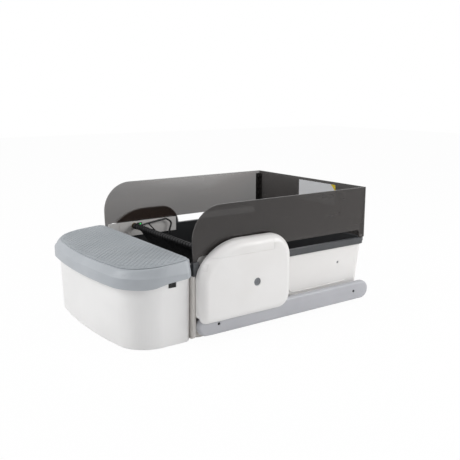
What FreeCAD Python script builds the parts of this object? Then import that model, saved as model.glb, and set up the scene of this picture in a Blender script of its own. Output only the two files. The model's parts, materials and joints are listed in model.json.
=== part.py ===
import FreeCAD, Part
import math
import os
import Sketcher

# Smart litter box: an open litter tray with a smoked fence, two travelling side
# pods that carry a rake, and a waste bin with a step lid docked at the front.
# Frame: +Y to the rear, +Z up, +X to the side of the drive pod, floor at Z 0.

sizes = {
    # base and rails
    "foot_height": 6.0,
    "foot_radius": 13.0,
    "foot_inset": 34.0,
    "chassis_half_width": 227.0,
    "chassis_rear": 363.0,
    "deck_top": 45.5,
    "deck_wall": 3.0,
    "deck_corner": 18.0,
    "ledge_pitch": 120.0,
    "foot_boss_radius": 16.0,
    "rail_front": -168.5,
    "rail_rear": 371.0,
    "rail_low": 12.5,
    "rail_top": 61.5,
    "rail_inner": 238.0,
    "rail_outer": 252.0,
    "rail_round": 6.5,
    "rail_wall": 2.6,
    "rail_boss_radius": 6.0,
    "rail_screw_front": -127.5,
    "rail_screw_rear": 314.6,
    "rail_screw_height": 38.0,
    "screw_radius": 1.9,
    "screw_head_radius": 3.6,
    "screw_head_depth": 2.2,
    "screw_recess": 1.6,
    "screw_tail": 2.0,
    "rail_boss_gap": 2.0,
    # bulkhead with the waste mouth
    "bulkhead_front": -189.0,
    "bulkhead_thick": 6.6,
    "bulkhead_half_width": 238.0,
    "bulkhead_top": 158.0,
    "bulkhead_corner": 14.0,
    "wing_rear": 91.0,
    "wing_thick": 2.2,
    "wing_gap": 0.4,
    "mouth_half_width": 216.5,
    "mouth_sill": 87.0,
    "mouth_top": 151.0,
    # travel rack and pinions
    "gear_module": 2.0,
    "pinion_teeth": 22.0,
    "rack_inner": 230.5,
    "rack_outer": 236.5,
    "rack_base": 45.0,
    "rack_pitch_height": 53.0,
    "rack_front": -154.0,
    "rack_rear": 286.0,
    "rack_web_front": -114.0,
    "rack_web_low": 32.0,
    "rack_web_thick": 4.2,
    "rack_web_lap": 4.0,
    "travel_pinion_place": -124.0,
    # tub, pan and rim
    "tub_front": 98.8,
    "tub_rear_low": 354.5,
    "tub_rear_top": 363.5,
    "tub_low": 46.0,
    "tub_top": 163.6,
    "tub_half_low": 226.0,
    "tub_half_top": 234.0,
    "tub_corner": 22.0,
    "tub_front_corner": 4.0,
    "tub_wall": 2.5,
    "tub_toe_round": 38.0,
    "tub_bed_gap": 3.0,
    "ledge_half": 1.5,
    "ledge_front_gap": 4.0,
    "ledge_rear_gap": 6.0,
    "pan_wall": 2.4,
    "ramp_floor": 58.0,
    "pan_lip_drop": 6.0,
    "pan_top": 178.0,
    "pan_half_low": 220.0,
    "pan_half_top": 232.0,
    "pan_rear_low": 347.0,
    "pan_rear_top": 361.0,
    "pan_corner": 22.0,
    "rim_low": 164.0,
    "rim_top": 181.0,
    "rim_half_width": 239.6,
    "rim_rear": 370.0,
    "rim_inner": 229.2,
    "rim_front_bar": 8.0,
    "rim_corner": 24.0,
    "rim_neck_gap": 3.3,
    "rim_step": 1.2,
    "rim_step_share": 0.42,
    "rim_gate_depth": 40.0,
    "rim_corner_gap": 2.0,
    "tub_screw_place": 271.0,
    "tub_screw_height": 122.0,
    "tub_screw_bore": 8.0,
    "tub_screw_recess": 0.8,
    # fence
    "fence_half_width": 235.0,
    "fence_thick": 4.0,
    "fence_rear": 366.0,
    "fence_top": 317.5,
    "fence_front": -187.0,
    "fence_arc_radius": 80.0,
    "fence_leg_width": 12.0,
    "fence_leg_sweep": 4.0,
    "fence_leg_low": 161.0,
    "slot_top": 202.5,
    "slot_rear": 345.0,
    "slot_round": 12.0,
    "clip_leg": 14.0,
    "clip_height": 128.0,
    "clip_rungs": 7.0,
    "clip_skin": 2.0,
    "rung_inset": 3.0,
    "rung_half": 1.5,
    "foot_clip_inner": 2.2,
    "foot_clip_outer": 4.4,
    "foot_clip_top": 191.0,
    "clip_room": 8.5,
    # pods
    "pod_inner": 240.0,
    "pod_outer": 268.0,
    "pod_wall": 2.5,
    "pod_round": 21.0,
    "pod_low": 44.0,
    "pod_top": 235.0,
    "right_pod_front": -183.6,
    "right_pod_rear": 82.0,
    "left_pod_front": -178.0,
    "left_pod_rear": 59.0,
    "pod_toe_round": 22.0,
    "pod_heel_round": 38.0,
    "pod_rear_round": 60.0,
    "pod_brow_round": 135.0,
    "pod_brow_angle": 50.0,
    "pod_nose_round": 66.7,
    "pod_cap_line": 200.0,
    "pod_cap_rear": 23.0,
    "seam": 0.4,
    "pod_disc_place": -27.5,
    "pod_disc_height": 127.0,
    "pod_disc_radius": 8.0,
    "pod_disc_recess": 1.2,
    # carriage frames inside the pods
    "frame_thick": 3.0,
    "frame_low": 66.0,
    "arm_front": -142.0,
    "arm_rear": 11.0,
    "arm_low": 184.0,
    "arm_top": 197.5,
    "skirt_plate_outer": 227.6,
    "skirt_plate_thick": 2.8,
    "skirt_plate_low": 172.0,
    "hanger_corner": 5.0,
    "shoe_length": 30.0,
    "heel_room": 46.0,
    "shoe_outer": 246.0,
    # rake
    "shaft_place": -99.0,
    "shaft_height": 189.0,
    "shaft_radius": 5.0,
    "bush_outer_radius": 7.0,
    "bush_flange_radius": 8.6,
    "bush_flange_thick": 2.0,
    "tine_pitch": 13.0,
    "tine_count": 31.0,
    "tine_rest_angle": 36.2,
    "tine_root_radius": 2.6,
    "tine_tip_radius": 1.3,
    "tine_collar_radius": 8.0,
    "tine_collar_width": 7.0,
    "tine_socket": 6.0,
    "ramp_gap": 6.5,
    "hoop_radius": 2.75,
    "hoop_place": 212.0,
    "rake_gear_teeth": 36.0,
    "rake_gear_module": 1.5,
    "rake_pinion_teeth": 14.0,
    "rake_gear_inner": 244.6,
    "rake_gear_thick": 5.0,
    "shaft_left_end": 244.0,
    "sleeve_half_width": 207.5,
    "sleeve_radius": 6.5,
    "hoop_eye_radius": 8.5,
    "hoop_eye_half": 3.4,
    "hoop_brace_radius": 1.9,
    "rake_motor_angle": -52.0,
    # drive and electronics
    "motor_radius": 12.0,
    "motor_depth": 17.0,
    "motor_shaft_radius": 2.0,
    "motor_bore_depth": 8.0,
    "rake_motor_bore_depth": 5.0,
    "wheel_bite": 0.5,
    "rake_motor_radius": 13.0,
    "rake_motor_outer": 264.0,
    "motor_flange_radius": 18.0,
    "motor_flange_thick": 2.0,
    "motor_post_circle": 15.5,
    "post_radius": 2.5,
    "board_front": -74.0,
    "board_rear": 16.0,
    "board_low": 88.0,
    "board_top": 150.0,
    "board_inner": 247.3,
    "light_place": -80.0,
    "light_height": 192.0,
    "light_radius": 3.0,
    "inlet_side": 250.0,
    "inlet_height": 100.0,
    "inlet_radius": 5.0,
    "inlet_depth": 12.0,
    "inlet_recess": 1.7,
    "inlet_floor": 3.0,
    "inlet_wall": 1.8,
    "inlet_pin_radius": 0.9,
    "inlet_bore_reach": 5.0,
    "board_thick": 1.6,
    "button_angle": 31.0,
    "button_height": 183.0,
    "button_tall": 18.0,
    "button_wide": 12.0,
    "button_gap": 0.3,
    "button_stem": 6.0,
    "button_stem_radius": 2.5,
    "button_block_depth": 7.5,
    "button_block_proud": 5.0,
    # bin and lid
    "bin_front": -359.0,
    "bin_front_radius": 1100.0,
    "bin_corner_start": 165.0,
    "bin_half_width": 235.0,
    "bin_rear_corner": 17.0,
    "dock_gap": 0.6,
    "bin_low": 3.0,
    "bin_top": 160.0,
    "bin_draft": 5.0,
    "bin_wall": 2.6,
    "bin_foot_radius": 9.0,
    "bin_foot_side": 165.0,
    "bin_foot_rear": -219.0,
    "bin_foot_front": -304.0,
    "ring_height": 3.0,
    "ring_width": 6.0,
    "window_front": -251.0,
    "window_rear": -231.0,
    "window_low": 141.0,
    "window_top": 153.5,
    "window_depth": 8.0,
    "window_recess": 1.0,
    "window_insert_thick": 2.0,
    "lid_overhang": 12.0,
    "lid_rear": -192.0,
    "lid_edge_low": 147.0,
    "lid_edge_high": 157.0,
    "lid_edge_rear": 161.0,
    "lid_wave_front": -314.0,
    "lid_wave_rear": -239.0,
    "lid_shelf": 2.3,
    "lid_shelf_reach": 6.0,
    "lid_shoulder": 172.0,
    "lid_top": 202.0,
    "lid_wall": 2.6,
    "lid_band_front": 34.0,
    "lid_band_side": 12.0,
    "pad_thick": 2.4,
    "pad_pitch": 6.65,
    "pad_groove_width": 2.6,
    "pad_groove_depth": 0.9,
    "pad_margin": 3.0,
    # clearances, and how far a tool runs past the face that it cuts or joins
    "seat_gap": 0.3,
    "running_gap": 0.05,
    "backlash": 0.35,
    "over": 1.0,
}

doc = FreeCAD.newDocument("smart_litter_box")
sheet = doc.addObject("Spreadsheet::Sheet", "Sizes")
for row, (name, value) in enumerate(sizes.items(), start=1):
    sheet.set("A%d" % row, str(value))
    sheet.setAlias("A%d" % row, name)
doc.recompute()


class Size:
    # a number together with the sheet formula that gives it
    def __init__(self, value, formula):
        self.value = float(value)
        self.formula = formula

    def __float__(self):
        return self.value

    def joined(self, sign, other, value):
        return Size(value, "(%s %s %s)" % (self.formula, sign, size(other).formula))

    def __add__(self, other):
        return self.joined("+", other, self.value + float(other))

    def __sub__(self, other):
        return self.joined("-", other, self.value - float(other))

    def __mul__(self, other):
        return self.joined("*", other, self.value * float(other))

    def __truediv__(self, other):
        return self.joined("/", other, self.value / float(other))

    def __radd__(self, other):
        return size(other) + self

    def __rsub__(self, other):
        return size(other) - self

    def __rmul__(self, other):
        return size(other) * self

    def __neg__(self):
        return size(0) - self

    def root(self):
        return Size(math.sqrt(self.value), "sqrt(%s)" % self.formula)


def size(value):
    return value if isinstance(value, Size) else Size(value, repr(float(value)))


class Sheet:
    # reads a named size from the sheet
    def __getattr__(self, name):
        return Size(sheet.get(name), "Sizes." + name)


s = Sheet()
nodes = []
counter = {"object": 0}


def fresh(kind, word):
    counter["object"] += 1
    return doc.addObject(kind, "%s_%d" % (word, counter["object"]))


def node(name, item):
    item.Label = name
    nodes.append(item)
    return item


def bind(item, **properties):
    for name, value in properties.items():
        item.setExpression(name.replace("__", "."), size(value).formula)
    return item


# primitives, placed by their faces or by their axis
def box(x0, x1, y0, y1, z0, z1):
    item = fresh("Part::Box", "block")
    bind(item, Length=x1 - x0, Width=y1 - y0, Height=z1 - z0)
    return bind(item, Placement__Base__x=x0, Placement__Base__y=y0, Placement__Base__z=z0)


def rod_x(x0, x1, y, z, radius):
    item = fresh("Part::Cylinder", "rod")
    item.Placement.Rotation = FreeCAD.Rotation(FreeCAD.Vector(0, 1, 0), 90)
    bind(item, Radius=radius, Height=x1 - x0)
    return bind(item, Placement__Base__x=x0, Placement__Base__y=y, Placement__Base__z=z)


def rod_y(x, y0, y1, z, radius):
    item = fresh("Part::Cylinder", "rod")
    item.Placement.Rotation = FreeCAD.Rotation(FreeCAD.Vector(1, 0, 0), -90)
    bind(item, Radius=radius, Height=y1 - y0)
    return bind(item, Placement__Base__x=x, Placement__Base__y=y0, Placement__Base__z=z)


def rod_z(x, y, z0, z1, radius):
    item = fresh("Part::Cylinder", "rod")
    bind(item, Radius=radius, Height=z1 - z0)
    return bind(item, Placement__Base__x=x, Placement__Base__y=y, Placement__Base__z=z0)


def fuse(items):
    if len(items) == 1:
        return items[0]
    item = fresh("Part::MultiFuse", "joined")
    item.Shapes = items
    item.Refine = True
    return item


def cut(base, *tools):
    item = fresh("Part::Cut", "cut")
    item.Base = base
    item.Tool = fuse(list(tools))
    return item


def common(one, other):
    item = fresh("Part::Common", "shared")
    item.Base = one
    item.Tool = other
    return item


def group(items):
    item = fresh("Part::Compound", "set")
    item.Links = items
    return item


# sketched outlines: every corner and radius is bound to the sheet
def sketch(body, plane, offset=0):
    drawing = body.newObject("Sketcher::SketchObject", "outline_%d" % len(doc.Objects))
    wanted = [feature for feature in body.Origin.OriginFeatures if feature.Role == plane]
    drawing.AttachmentSupport = [(wanted[0], "")]
    drawing.MapMode = "FlatFace"
    drawing.setExpression("AttachmentOffset.Base.z", size(offset).formula)
    return drawing


def arc_middle(start, end, radius, turn):
    chord = end - start
    side = FreeCAD.Vector(chord.y, -chord.x, 0).normalize() * turn
    rise = float(radius) - math.sqrt(max(float(radius) ** 2 - (chord.Length / 2) ** 2, 0.0))
    return (start + end) * 0.5 + side * rise


def outline(drawing, corners):
    # a corner is (x, y); with (x, y, radius, turn) an arc leads to it, turn 1 bulging to the right
    count = len(corners)
    points = [FreeCAD.Vector(float(corner[0]), float(corner[1]), 0) for corner in corners]
    ends = []
    for i in range(count):
        here, there, corner = points[i], points[(i + 1) % count], corners[(i + 1) % count]
        if len(corner) == 2:
            index = drawing.addGeometry(Part.LineSegment(here, there), False)
            ends.append((index, 1, 2))
        else:
            middle = arc_middle(here, there, corner[2], corner[3])
            index = drawing.addGeometry(Part.Arc(here, middle, there), False)
            ends.append((index, 1, 2) if corner[3] > 0 else (index, 2, 1))
            place = drawing.addConstraint(Sketcher.Constraint("Radius", index, float(corner[2])))
            drawing.setExpression("Constraints[%d]" % place, size(corner[2]).formula)
    for i in range(count):
        one, two = ends[i], ends[(i + 1) % count]
        drawing.addConstraint(Sketcher.Constraint("Coincident", one[0], one[2], two[0], two[1]))
        for kind, value in (("DistanceX", corners[i][0]), ("DistanceY", corners[i][1])):
            rule = Sketcher.Constraint(kind, -1, 1, one[0], one[1], float(value))
            place = drawing.addConstraint(rule)
            drawing.setExpression("Constraints[%d]" % place, size(value).formula)
    return drawing


def new_body(word="form"):
    return fresh("PartDesign::Body", word)


def pad(body, drawing, length, reverse=False):
    item = body.newObject("PartDesign::Pad", "pad_%d" % len(doc.Objects))
    item.Profile = drawing
    item.Reversed = reverse
    item.setExpression("Length", size(length).formula)
    return item


def plate(plane, low, high, corners):
    # a plate between two planes; the XZ plane faces -Y, so its sketch lies on the rear face
    body = new_body("plate")
    offset = -size(high) if plane == "XZ_Plane" else low
    pad(body, outline(sketch(body, plane, offset), corners), size(high) - low)
    doc.recompute()
    return body


def loft(levels):
    body = new_body("loft")
    drawings = [outline(sketch(body, "XY_Plane", height), corners) for height, corners in levels]
    item = body.newObject("PartDesign::AdditiveLoft", "loft_%d" % len(doc.Objects))
    item.Profile = drawings[0]
    item.Sections = drawings[1:]
    item.Ruled = True
    doc.recompute()
    return body


def round_edges(body, radius, wanted):
    base = body.Tip
    names = ["Edge%d" % (i + 1) for i, edge in enumerate(base.Shape.Edges) if wanted(edge)]
    item = body.newObject("PartDesign::Fillet", "round_%d" % len(doc.Objects))
    item.Base = (base, names)
    item.setExpression("Radius", size(radius).formula)
    doc.recompute()
    return body


def flat_at(axis, place):
    low, high = axis + "Min", axis + "Max"
    place = float(place)

    def test(edge):
        limits = edge.BoundBox
        return abs(getattr(limits, low) - place) < 0.01 and abs(getattr(limits, high) - place) < 0.01
    return test


def rectangle(x0, x1, y0, y1, r, front_r=None):
    # a rectangle with four round corners; the two at y0 can have a radius of their own
    f = r if front_r is None else front_r
    return [(x0 + f, y0, f, 1), (x1 - f, y0), (x1, y0 + f, f, 1), (x1, y1 - r),
            (x1 - r, y1, r, 1), (x0 + r, y1), (x0, y1 - r, r, 1), (x0, y0 + f)]


SIDES = {"right": 1, "left": -1}


def span(side, low, high):
    # a stretch of X, given outwards, on one side of the unit
    return (low, high) if side > 0 else (-size(high), -size(low))


def behind_bulkhead():
    return s.bulkhead_front + s.bulkhead_thick + s.seat_gap


# base chassis: a low deck with walls, ribs and foot bosses underneath
def base_chassis():
    inner = s.chassis_half_width - s.deck_wall
    front = behind_bulkhead()
    shell = plate("XY_Plane", s.foot_height, s.deck_top,
                  rectangle(-s.chassis_half_width, s.chassis_half_width, front, s.chassis_rear,
                            s.deck_corner))
    hollow = plate("XY_Plane", s.foot_height - s.over, s.deck_top - s.deck_wall,
                   rectangle(-inner, inner, front + s.deck_wall, s.chassis_rear - s.deck_wall,
                             s.deck_corner - s.deck_wall))
    half, middle = s.deck_wall / 2, (front + s.chassis_rear) / 2
    top = s.deck_top - s.over
    ribs = [box(-inner - s.over, inner + s.over, middle - half, middle + half, s.foot_height, top),
            box(-half, half, front + s.over, s.chassis_rear - s.over, s.foot_height, top)]
    bosses = [rod_z(x, y, s.foot_height, top, s.foot_boss_radius)
              for x, y in foot_places()]
    holes = [rod_x(*span(side, inner - s.over, s.chassis_half_width + s.over), y, s.rail_screw_height,
                   s.screw_radius + s.running_gap)
             for side in SIDES.values() for y in (s.rail_screw_front, s.rail_screw_rear)]
    body = cut(shell, hollow)
    return node("base_chassis", cut(fuse([body] + ribs + bosses), *holes))


def foot_places():
    x = s.chassis_half_width - s.foot_inset
    front = s.bulkhead_front + s.foot_inset + s.bulkhead_thick
    rear = s.chassis_rear - s.foot_inset
    return [(-x, front), (x, front), (-x, rear), (x, rear)]


def rubber_feet():
    feet = [rod_z(x, y, 0, s.foot_height, s.foot_radius) for x, y in foot_places()]
    return node("rubber_feet", group(feet))


def pan_half_at(height):
    # the drafted pan's outer half width at a height
    share = (height - s.ramp_floor + s.pan_wall) / (s.pan_top - s.ramp_floor + s.pan_wall)
    return s.pan_half_low + (s.pan_half_top - s.pan_half_low) * share


# bulkhead: the front wall with the waste mouth, and side wings along the pan
def front_bulkhead():
    rear = s.bulkhead_front + s.bulkhead_thick
    wide, r = s.bulkhead_half_width, s.bulkhead_corner
    wall = plate("XZ_Plane", s.bulkhead_front, rear,
                 [(-wide + r, s.foot_height, r, 1), (wide - r, s.foot_height),
                  (wide, s.foot_height + r, r, 1), (wide, s.bulkhead_top),
                  (-wide, s.bulkhead_top), (-wide, s.foot_height + r)])
    mouth = plate("XZ_Plane", s.bulkhead_front - s.over, rear + s.over,
                  rectangle(-s.mouth_half_width, s.mouth_half_width, s.mouth_sill, s.mouth_top,
                            s.bulkhead_corner / 2))
    low = s.deck_top + s.seat_gap
    wings = []
    for side in SIDES.values():
        corners = []
        for height, reach in ((low, size(0)), (low, s.wing_thick), (s.mouth_top, s.wing_thick),
                              (s.mouth_top, size(0))):
            corners.append(((pan_half_at(height) + s.wing_gap + reach) * side, height))
        wings.append(plate("XZ_Plane", rear - s.over, s.wing_rear, corners[::side]))
    return node("front_bulkhead", fuse([cut(wall, mouth)] + wings))


# rail skirts: long rounded covers along both sides, screwed to the chassis
def rail_skirt(name, side):
    middle = (s.rail_low + s.rail_top) / 2
    r = (s.rail_top - s.rail_low) / 2
    front, rear = s.rail_front + r, s.rail_rear - r
    pill = [(front, s.rail_low, r, 1), (rear, s.rail_low), (s.rail_rear, middle, r, 1),
            (rear, s.rail_top, r, 1), (front, s.rail_top), (s.rail_front, middle, r, 1)]
    inset, t = r - s.rail_wall, s.rail_wall
    low, high = span(side, s.rail_inner, s.rail_outer)
    skin = plate("YZ_Plane", low, high, pill)
    face = s.rail_outer * side
    round_edges(skin, s.rail_round, flat_at("X", face))
    well = [(front, s.rail_low + t, inset, 1), (rear, s.rail_low + t),
            (s.rail_rear - t, middle, inset, 1), (rear, s.rail_top - t, inset, 1),
            (front, s.rail_top - t), (s.rail_front + t, middle, inset, 1)]
    low, high = span(side, s.rail_inner - s.over, s.rail_outer - s.rail_round)
    hollow = plate("YZ_Plane", low, high, well)
    body = cut(skin, hollow)
    places = (s.rail_screw_front, s.rail_screw_rear)
    bosses = [rod_x(*span(side, s.chassis_half_width + s.seat_gap, s.rail_outer - s.rail_boss_gap),
                    y, s.rail_screw_height, s.rail_boss_radius) for y in places]
    bores = [rod_x(*span(side, s.chassis_half_width - s.over, s.rail_outer + s.over), y,
                   s.rail_screw_height, s.screw_radius + s.running_gap) for y in places]
    sinks = [rod_x(*span(side, s.rail_outer - s.screw_recess - s.screw_head_depth, s.rail_outer + s.over),
                   y, s.rail_screw_height, s.screw_head_radius + s.seat_gap) for y in places]
    return node(name, cut(fuse([body] + bosses), *(bores + sinks)))


def rail_screws():
    screws = []
    for side in SIDES.values():
        for y in (s.rail_screw_front, s.rail_screw_rear):
            top = s.rail_outer - s.screw_recess
            neck = top - s.screw_head_depth
            head = rod_x(*span(side, neck, top), y, s.rail_screw_height, s.screw_head_radius)
            shank = rod_x(*span(side, s.chassis_half_width - s.deck_wall - s.screw_tail, neck), y,
                          s.rail_screw_height, s.screw_radius)
            screws.append(fuse([head, shank]))
    return node("rail_screws", group(screws))


# toothed profiles: straight flanks on the racks, involute flanks on the wheels
def prism_x(points, low, high):
    wire = Part.makePolygon([FreeCAD.Vector(low, y, z) for y, z in points + points[:1]])
    return Part.Face(wire).extrude(FreeCAD.Vector(high - low, 0, 0))


def teeth_feature(name, shape):
    item = doc.addObject("Part::Feature", name)
    item.Shape = shape
    return item


PRESSURE = math.radians(20)
ADDENDUM = 0.8
DEDENDUM = 1.1
FLANK_STEPS = 4


def gear_rack(name, side):
    module = float(s.gear_module)
    pitch = math.pi * module
    line = float(s.rack_pitch_height)
    half = pitch / 4 - float(s.backlash) / 2
    top, root = line + ADDENDUM * module, line - DEDENDUM * module
    lean = math.tan(PRESSURE)
    first = float(s.travel_pinion_place) + pitch / 2
    index = math.ceil((float(s.rack_front) + pitch - first) / pitch)
    points = [(float(s.rack_front), float(s.rack_base)), (float(s.rack_front), root)]
    while first + (index + 1) * pitch < float(s.rack_rear):
        y = first + index * pitch
        wide, slim = half + DEDENDUM * module * lean, half - ADDENDUM * module * lean
        points += [(y - wide, root), (y - slim, top), (y + slim, top), (y + wide, root)]
        index += 1
    points += [(float(s.rack_rear), root), (float(s.rack_rear), float(s.rack_base))]
    low, high = span(side, s.rack_inner, s.rack_outer)
    teeth = prism_x(points, float(low), float(high))
    web = box(*span(side, s.chassis_half_width + s.seat_gap,
                    s.chassis_half_width + s.seat_gap + s.rack_web_thick),
              s.rack_web_front, s.rack_rear, s.rack_web_low,
              s.rack_base + s.rack_web_lap)
    return node(name, fuse([teeth_feature("rack_teeth", teeth), web]))


def wheel_points(teeth, module, phase):
    # an involute wheel about the origin, with the middle of one tooth at the phase angle
    pitch_r = teeth * module / 2
    base_r = pitch_r * math.cos(PRESSURE)
    root_r, tip_r = pitch_r - DEDENDUM * module, pitch_r + ADDENDUM * module
    half = math.pi / (2 * teeth) - float(s.backlash) / (2 * pitch_r)
    spread = math.tan(PRESSURE) - PRESSURE
    start = max(base_r, root_r)
    flank = []
    for step in range(FLANK_STEPS + 1):
        r = start + (tip_r - start) * step / FLANK_STEPS
        roll = math.acos(min(base_r / r, 1.0))
        flank.append((r, half + spread - (math.tan(roll) - roll)))
    if root_r < base_r:
        flank.insert(0, (root_r, flank[0][1]))
    points = []
    for tooth in range(int(teeth)):
        middle = phase + 2 * math.pi * tooth / teeth
        points += [(r * math.cos(middle - a), r * math.sin(middle - a)) for r, a in flank]
        points += [(r * math.cos(middle + a), r * math.sin(middle + a)) for r, a in flank[::-1]]
    return points


def wheel(low, high, y, z, teeth, module, phase, bore):
    points = [(y + a, z + b) for a, b in wheel_points(teeth, module, phase)]
    shape = prism_x(points, low, high)
    over = float(s.over)
    hole = Part.makeCylinder(bore, high - low + 2 * over, FreeCAD.Vector(low - over, y, z),
                             FreeCAD.Vector(1, 0, 0))
    return shape.cut(hole)


# drafted tubs: lofts between round-cornered rectangles
def tub_shape(front, low, high, half_low, half_high, rear_low, rear_high, corner, front_corner):
    return loft([(low, rectangle(-half_low, half_low, front, rear_low, corner, front_corner)),
                 (high, rectangle(-half_high, half_high, front, rear_high, corner, front_corner))])


def litter_tub():
    w = s.tub_wall
    outer = tub_shape(s.tub_front, s.tub_low, s.tub_top, s.tub_half_low, s.tub_half_top,
                      s.tub_rear_low, s.tub_rear_top, s.tub_corner, s.tub_front_corner)
    inner = tub_shape(s.tub_front + w, s.tub_low + w, s.tub_top + s.over, s.tub_half_low - w,
                      s.tub_half_top - w, s.tub_rear_low - w, s.tub_rear_top - w,
                      s.tub_corner - w, s.tub_front_corner - w)
    r = s.tub_toe_round
    toe = plate("YZ_Plane", -s.tub_half_top - s.over, s.tub_half_top + s.over,
                [(s.tub_front - s.over, s.tub_low - s.over), (s.tub_front + r, s.tub_low - s.over),
                 (s.tub_front + r, s.tub_low), (s.tub_front, s.tub_low + r, r, -1),
                 (s.tub_front - s.over, s.tub_low + r)])
    bed_half = s.tub_half_low - s.tub_bed_gap
    bed = plate("YZ_Plane", -bed_half, bed_half,
                [(s.tub_front + r, s.tub_low, r, 1), (s.tub_front + r, s.tub_low + w),
                 (s.tub_front + w, s.tub_low + r, r - w, -1), (s.tub_front, s.tub_low + r)])
    ledges = [box(x - s.ledge_half, x + s.ledge_half, s.tub_front + r + s.ledge_front_gap,
                  s.tub_rear_low - s.ledge_rear_gap, s.tub_low + s.over,
                  s.ramp_floor - s.pan_wall - s.seat_gap)
              for x in (-s.ledge_pitch, size(0), s.ledge_pitch)]
    screws = [rod_x(*span(side, s.tub_half_low - s.tub_screw_bore, s.tub_half_top + s.over),
                    s.tub_screw_place, s.tub_screw_height, s.screw_head_radius + s.seat_gap)
              for side in SIDES.values()]
    low, high = s.ramp_floor - s.pan_wall - s.seat_gap, s.tub_top + s.over
    wide_low, wide_high = pan_half_at(low) + s.wing_gap, pan_half_at(high) + s.wing_gap
    passage = plate("XZ_Plane", s.tub_front - s.over, s.tub_front + r + s.over,
                    [(-wide_low, low), (wide_low, low), (wide_high, high), (-wide_high, high)])
    trimmed = cut(cut(outer, inner), toe)
    return node("litter_tub", cut(fuse([trimmed, bed] + ledges), passage, *screws))


def tub_screws():
    share = (s.tub_screw_height - s.tub_low) / (s.tub_top - s.tub_low)
    face = s.tub_half_low + (s.tub_half_top - s.tub_half_low) * share
    items = [rod_x(*span(side, face - s.tub_wall - s.over, face - s.tub_screw_recess),
                   s.tub_screw_place, s.tub_screw_height, s.screw_head_radius)
             for side in SIDES.values()]
    return node("tub_screws", group(items))


# litter pan: drafted walls, and a front ramp that is concentric with the rake
def pan_profile(inset, top):
    reach = s.shaft_height - s.ramp_floor + s.pan_wall - inset
    front = behind_bulkhead() + inset
    run = s.shaft_place - front
    rise = (reach * reach - run * run).root()
    rear = s.pan_rear_top + s.pan_wall
    return [(s.shaft_place, s.shaft_height - reach), (rear, s.shaft_height - reach), (rear, top),
            (front, top), (front, s.shaft_height - rise)]


def litter_pan():
    w = s.pan_wall
    low = s.ramp_floor - w
    front = behind_bulkhead()
    outer = tub_shape(front, low, s.pan_top, s.pan_half_low, s.pan_half_top,
                      s.pan_rear_low, s.pan_rear_top, s.pan_corner, s.pan_corner)
    inner = tub_shape(front + w, low + w, s.pan_top + s.over, s.pan_half_low - w,
                      s.pan_half_top - w, s.pan_rear_low - w, s.pan_rear_top - w,
                      s.pan_corner - w, s.pan_corner - w)
    forms = []
    for inset, top, form in ((size(0), s.pan_top + s.over, outer),
                             (w, s.pan_top + 2 * s.over, inner)):
        corners = pan_profile(inset, top)
        reach = s.shaft_height - s.ramp_floor + w - inset
        corners[0] = (corners[0][0], corners[0][1], reach, 1)
        side = plate("YZ_Plane", -s.pan_half_top - s.over, s.pan_half_top + s.over, corners)
        forms.append(common(form, side))
    half, sill = s.mouth_half_width, s.mouth_sill - s.pan_lip_drop
    mouth = box(-half, half, front - s.over, front + w + s.seat_gap, sill, s.mouth_top)
    # the rake swings through the round front corners, above the ramp
    corner_zone = box(-half, half, front - s.over, front + s.pan_corner + s.over, sill, s.mouth_top)
    sweep = rod_x(-half - s.over, half + s.over, s.shaft_place, s.shaft_height,
                  s.shaft_height - s.ramp_floor)
    return node("litter_pan", cut(forms[0], forms[1], mouth, common(corner_zone, sweep)))


# rim frame: the dark band that closes the tub and carries the fence
def rim_frame():
    wide, step = s.rim_half_width, s.seat_gap + s.clip_room
    nose = behind_bulkhead()
    neck = s.pan_half_top - s.rim_neck_gap

    def ring(low, high, shrink):
        w, r = wide - shrink, s.rim_corner - shrink
        return plate("XY_Plane", low, high,
                     [(-neck, nose), (neck, nose), (neck, nose + step), (w, nose + step),
                      (w, s.rim_rear - shrink - r), (w - r, s.rim_rear - shrink, r, 1),
                      (-w + r, s.rim_rear - shrink), (-w, s.rim_rear - shrink - r, r, 1),
                      (-w, nose + step), (-neck, nose + step)])

    band = s.rim_low + (s.rim_top - s.rim_low) * s.rim_step_share
    body = fuse([ring(s.rim_low, band, s.rim_step), ring(band, s.rim_top, size(0))])
    opening = plate("XY_Plane", s.rim_low - s.over, s.rim_top + s.over,
                    rectangle(-s.rim_inner, s.rim_inner, nose + s.rim_front_bar + s.clip_room,
                              s.pan_rear_top - s.pan_wall - s.seat_gap,
                              s.pan_corner - s.rim_corner_gap))
    gate = box(-s.mouth_half_width, s.mouth_half_width, nose + s.rim_front_bar,
               nose + s.rim_front_bar + s.rim_gate_depth, s.rim_low - s.over, s.rim_top + s.over)
    g = s.seat_gap
    under = plate("XY_Plane", s.rim_low - s.over, s.pan_top + g,
                  rectangle(-s.pan_half_top - g, s.pan_half_top + g, nose - s.over,
                            s.pan_rear_top + g, s.pan_corner))
    return node("rim_frame", cut(body, opening, gate, under))


# fence: smoked side panels with a long slot for the carriage, and a rear panel
def fence_side(name, side):
    base = s.rim_top + s.seat_gap
    r, leg = s.fence_arc_radius, s.fence_leg_width
    knee = s.fence_top - r
    drop = knee - s.fence_leg_low
    swing = s.fence_leg_sweep
    bend = (drop * drop + swing * swing) / (2 * swing)
    toe = s.fence_front + swing
    back = s.fence_front + leg
    corners = [(s.slot_rear, base), (s.fence_rear, base), (s.fence_rear, s.fence_top),
               (s.fence_front + r, s.fence_top), (s.fence_front, knee, r, 1),
               (toe, s.fence_leg_low, bend, 1), (back, s.fence_leg_low),
               (back, s.slot_top - s.slot_round), (back + s.slot_round, s.slot_top, s.slot_round, -1),
               (s.slot_rear - s.slot_round, s.slot_top),
               (s.slot_rear, s.slot_top - s.slot_round, s.slot_round, -1)]
    low, high = span(side, s.fence_half_width - s.fence_thick, s.fence_half_width)
    return node(name, plate("YZ_Plane", low, high, corners))


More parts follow.
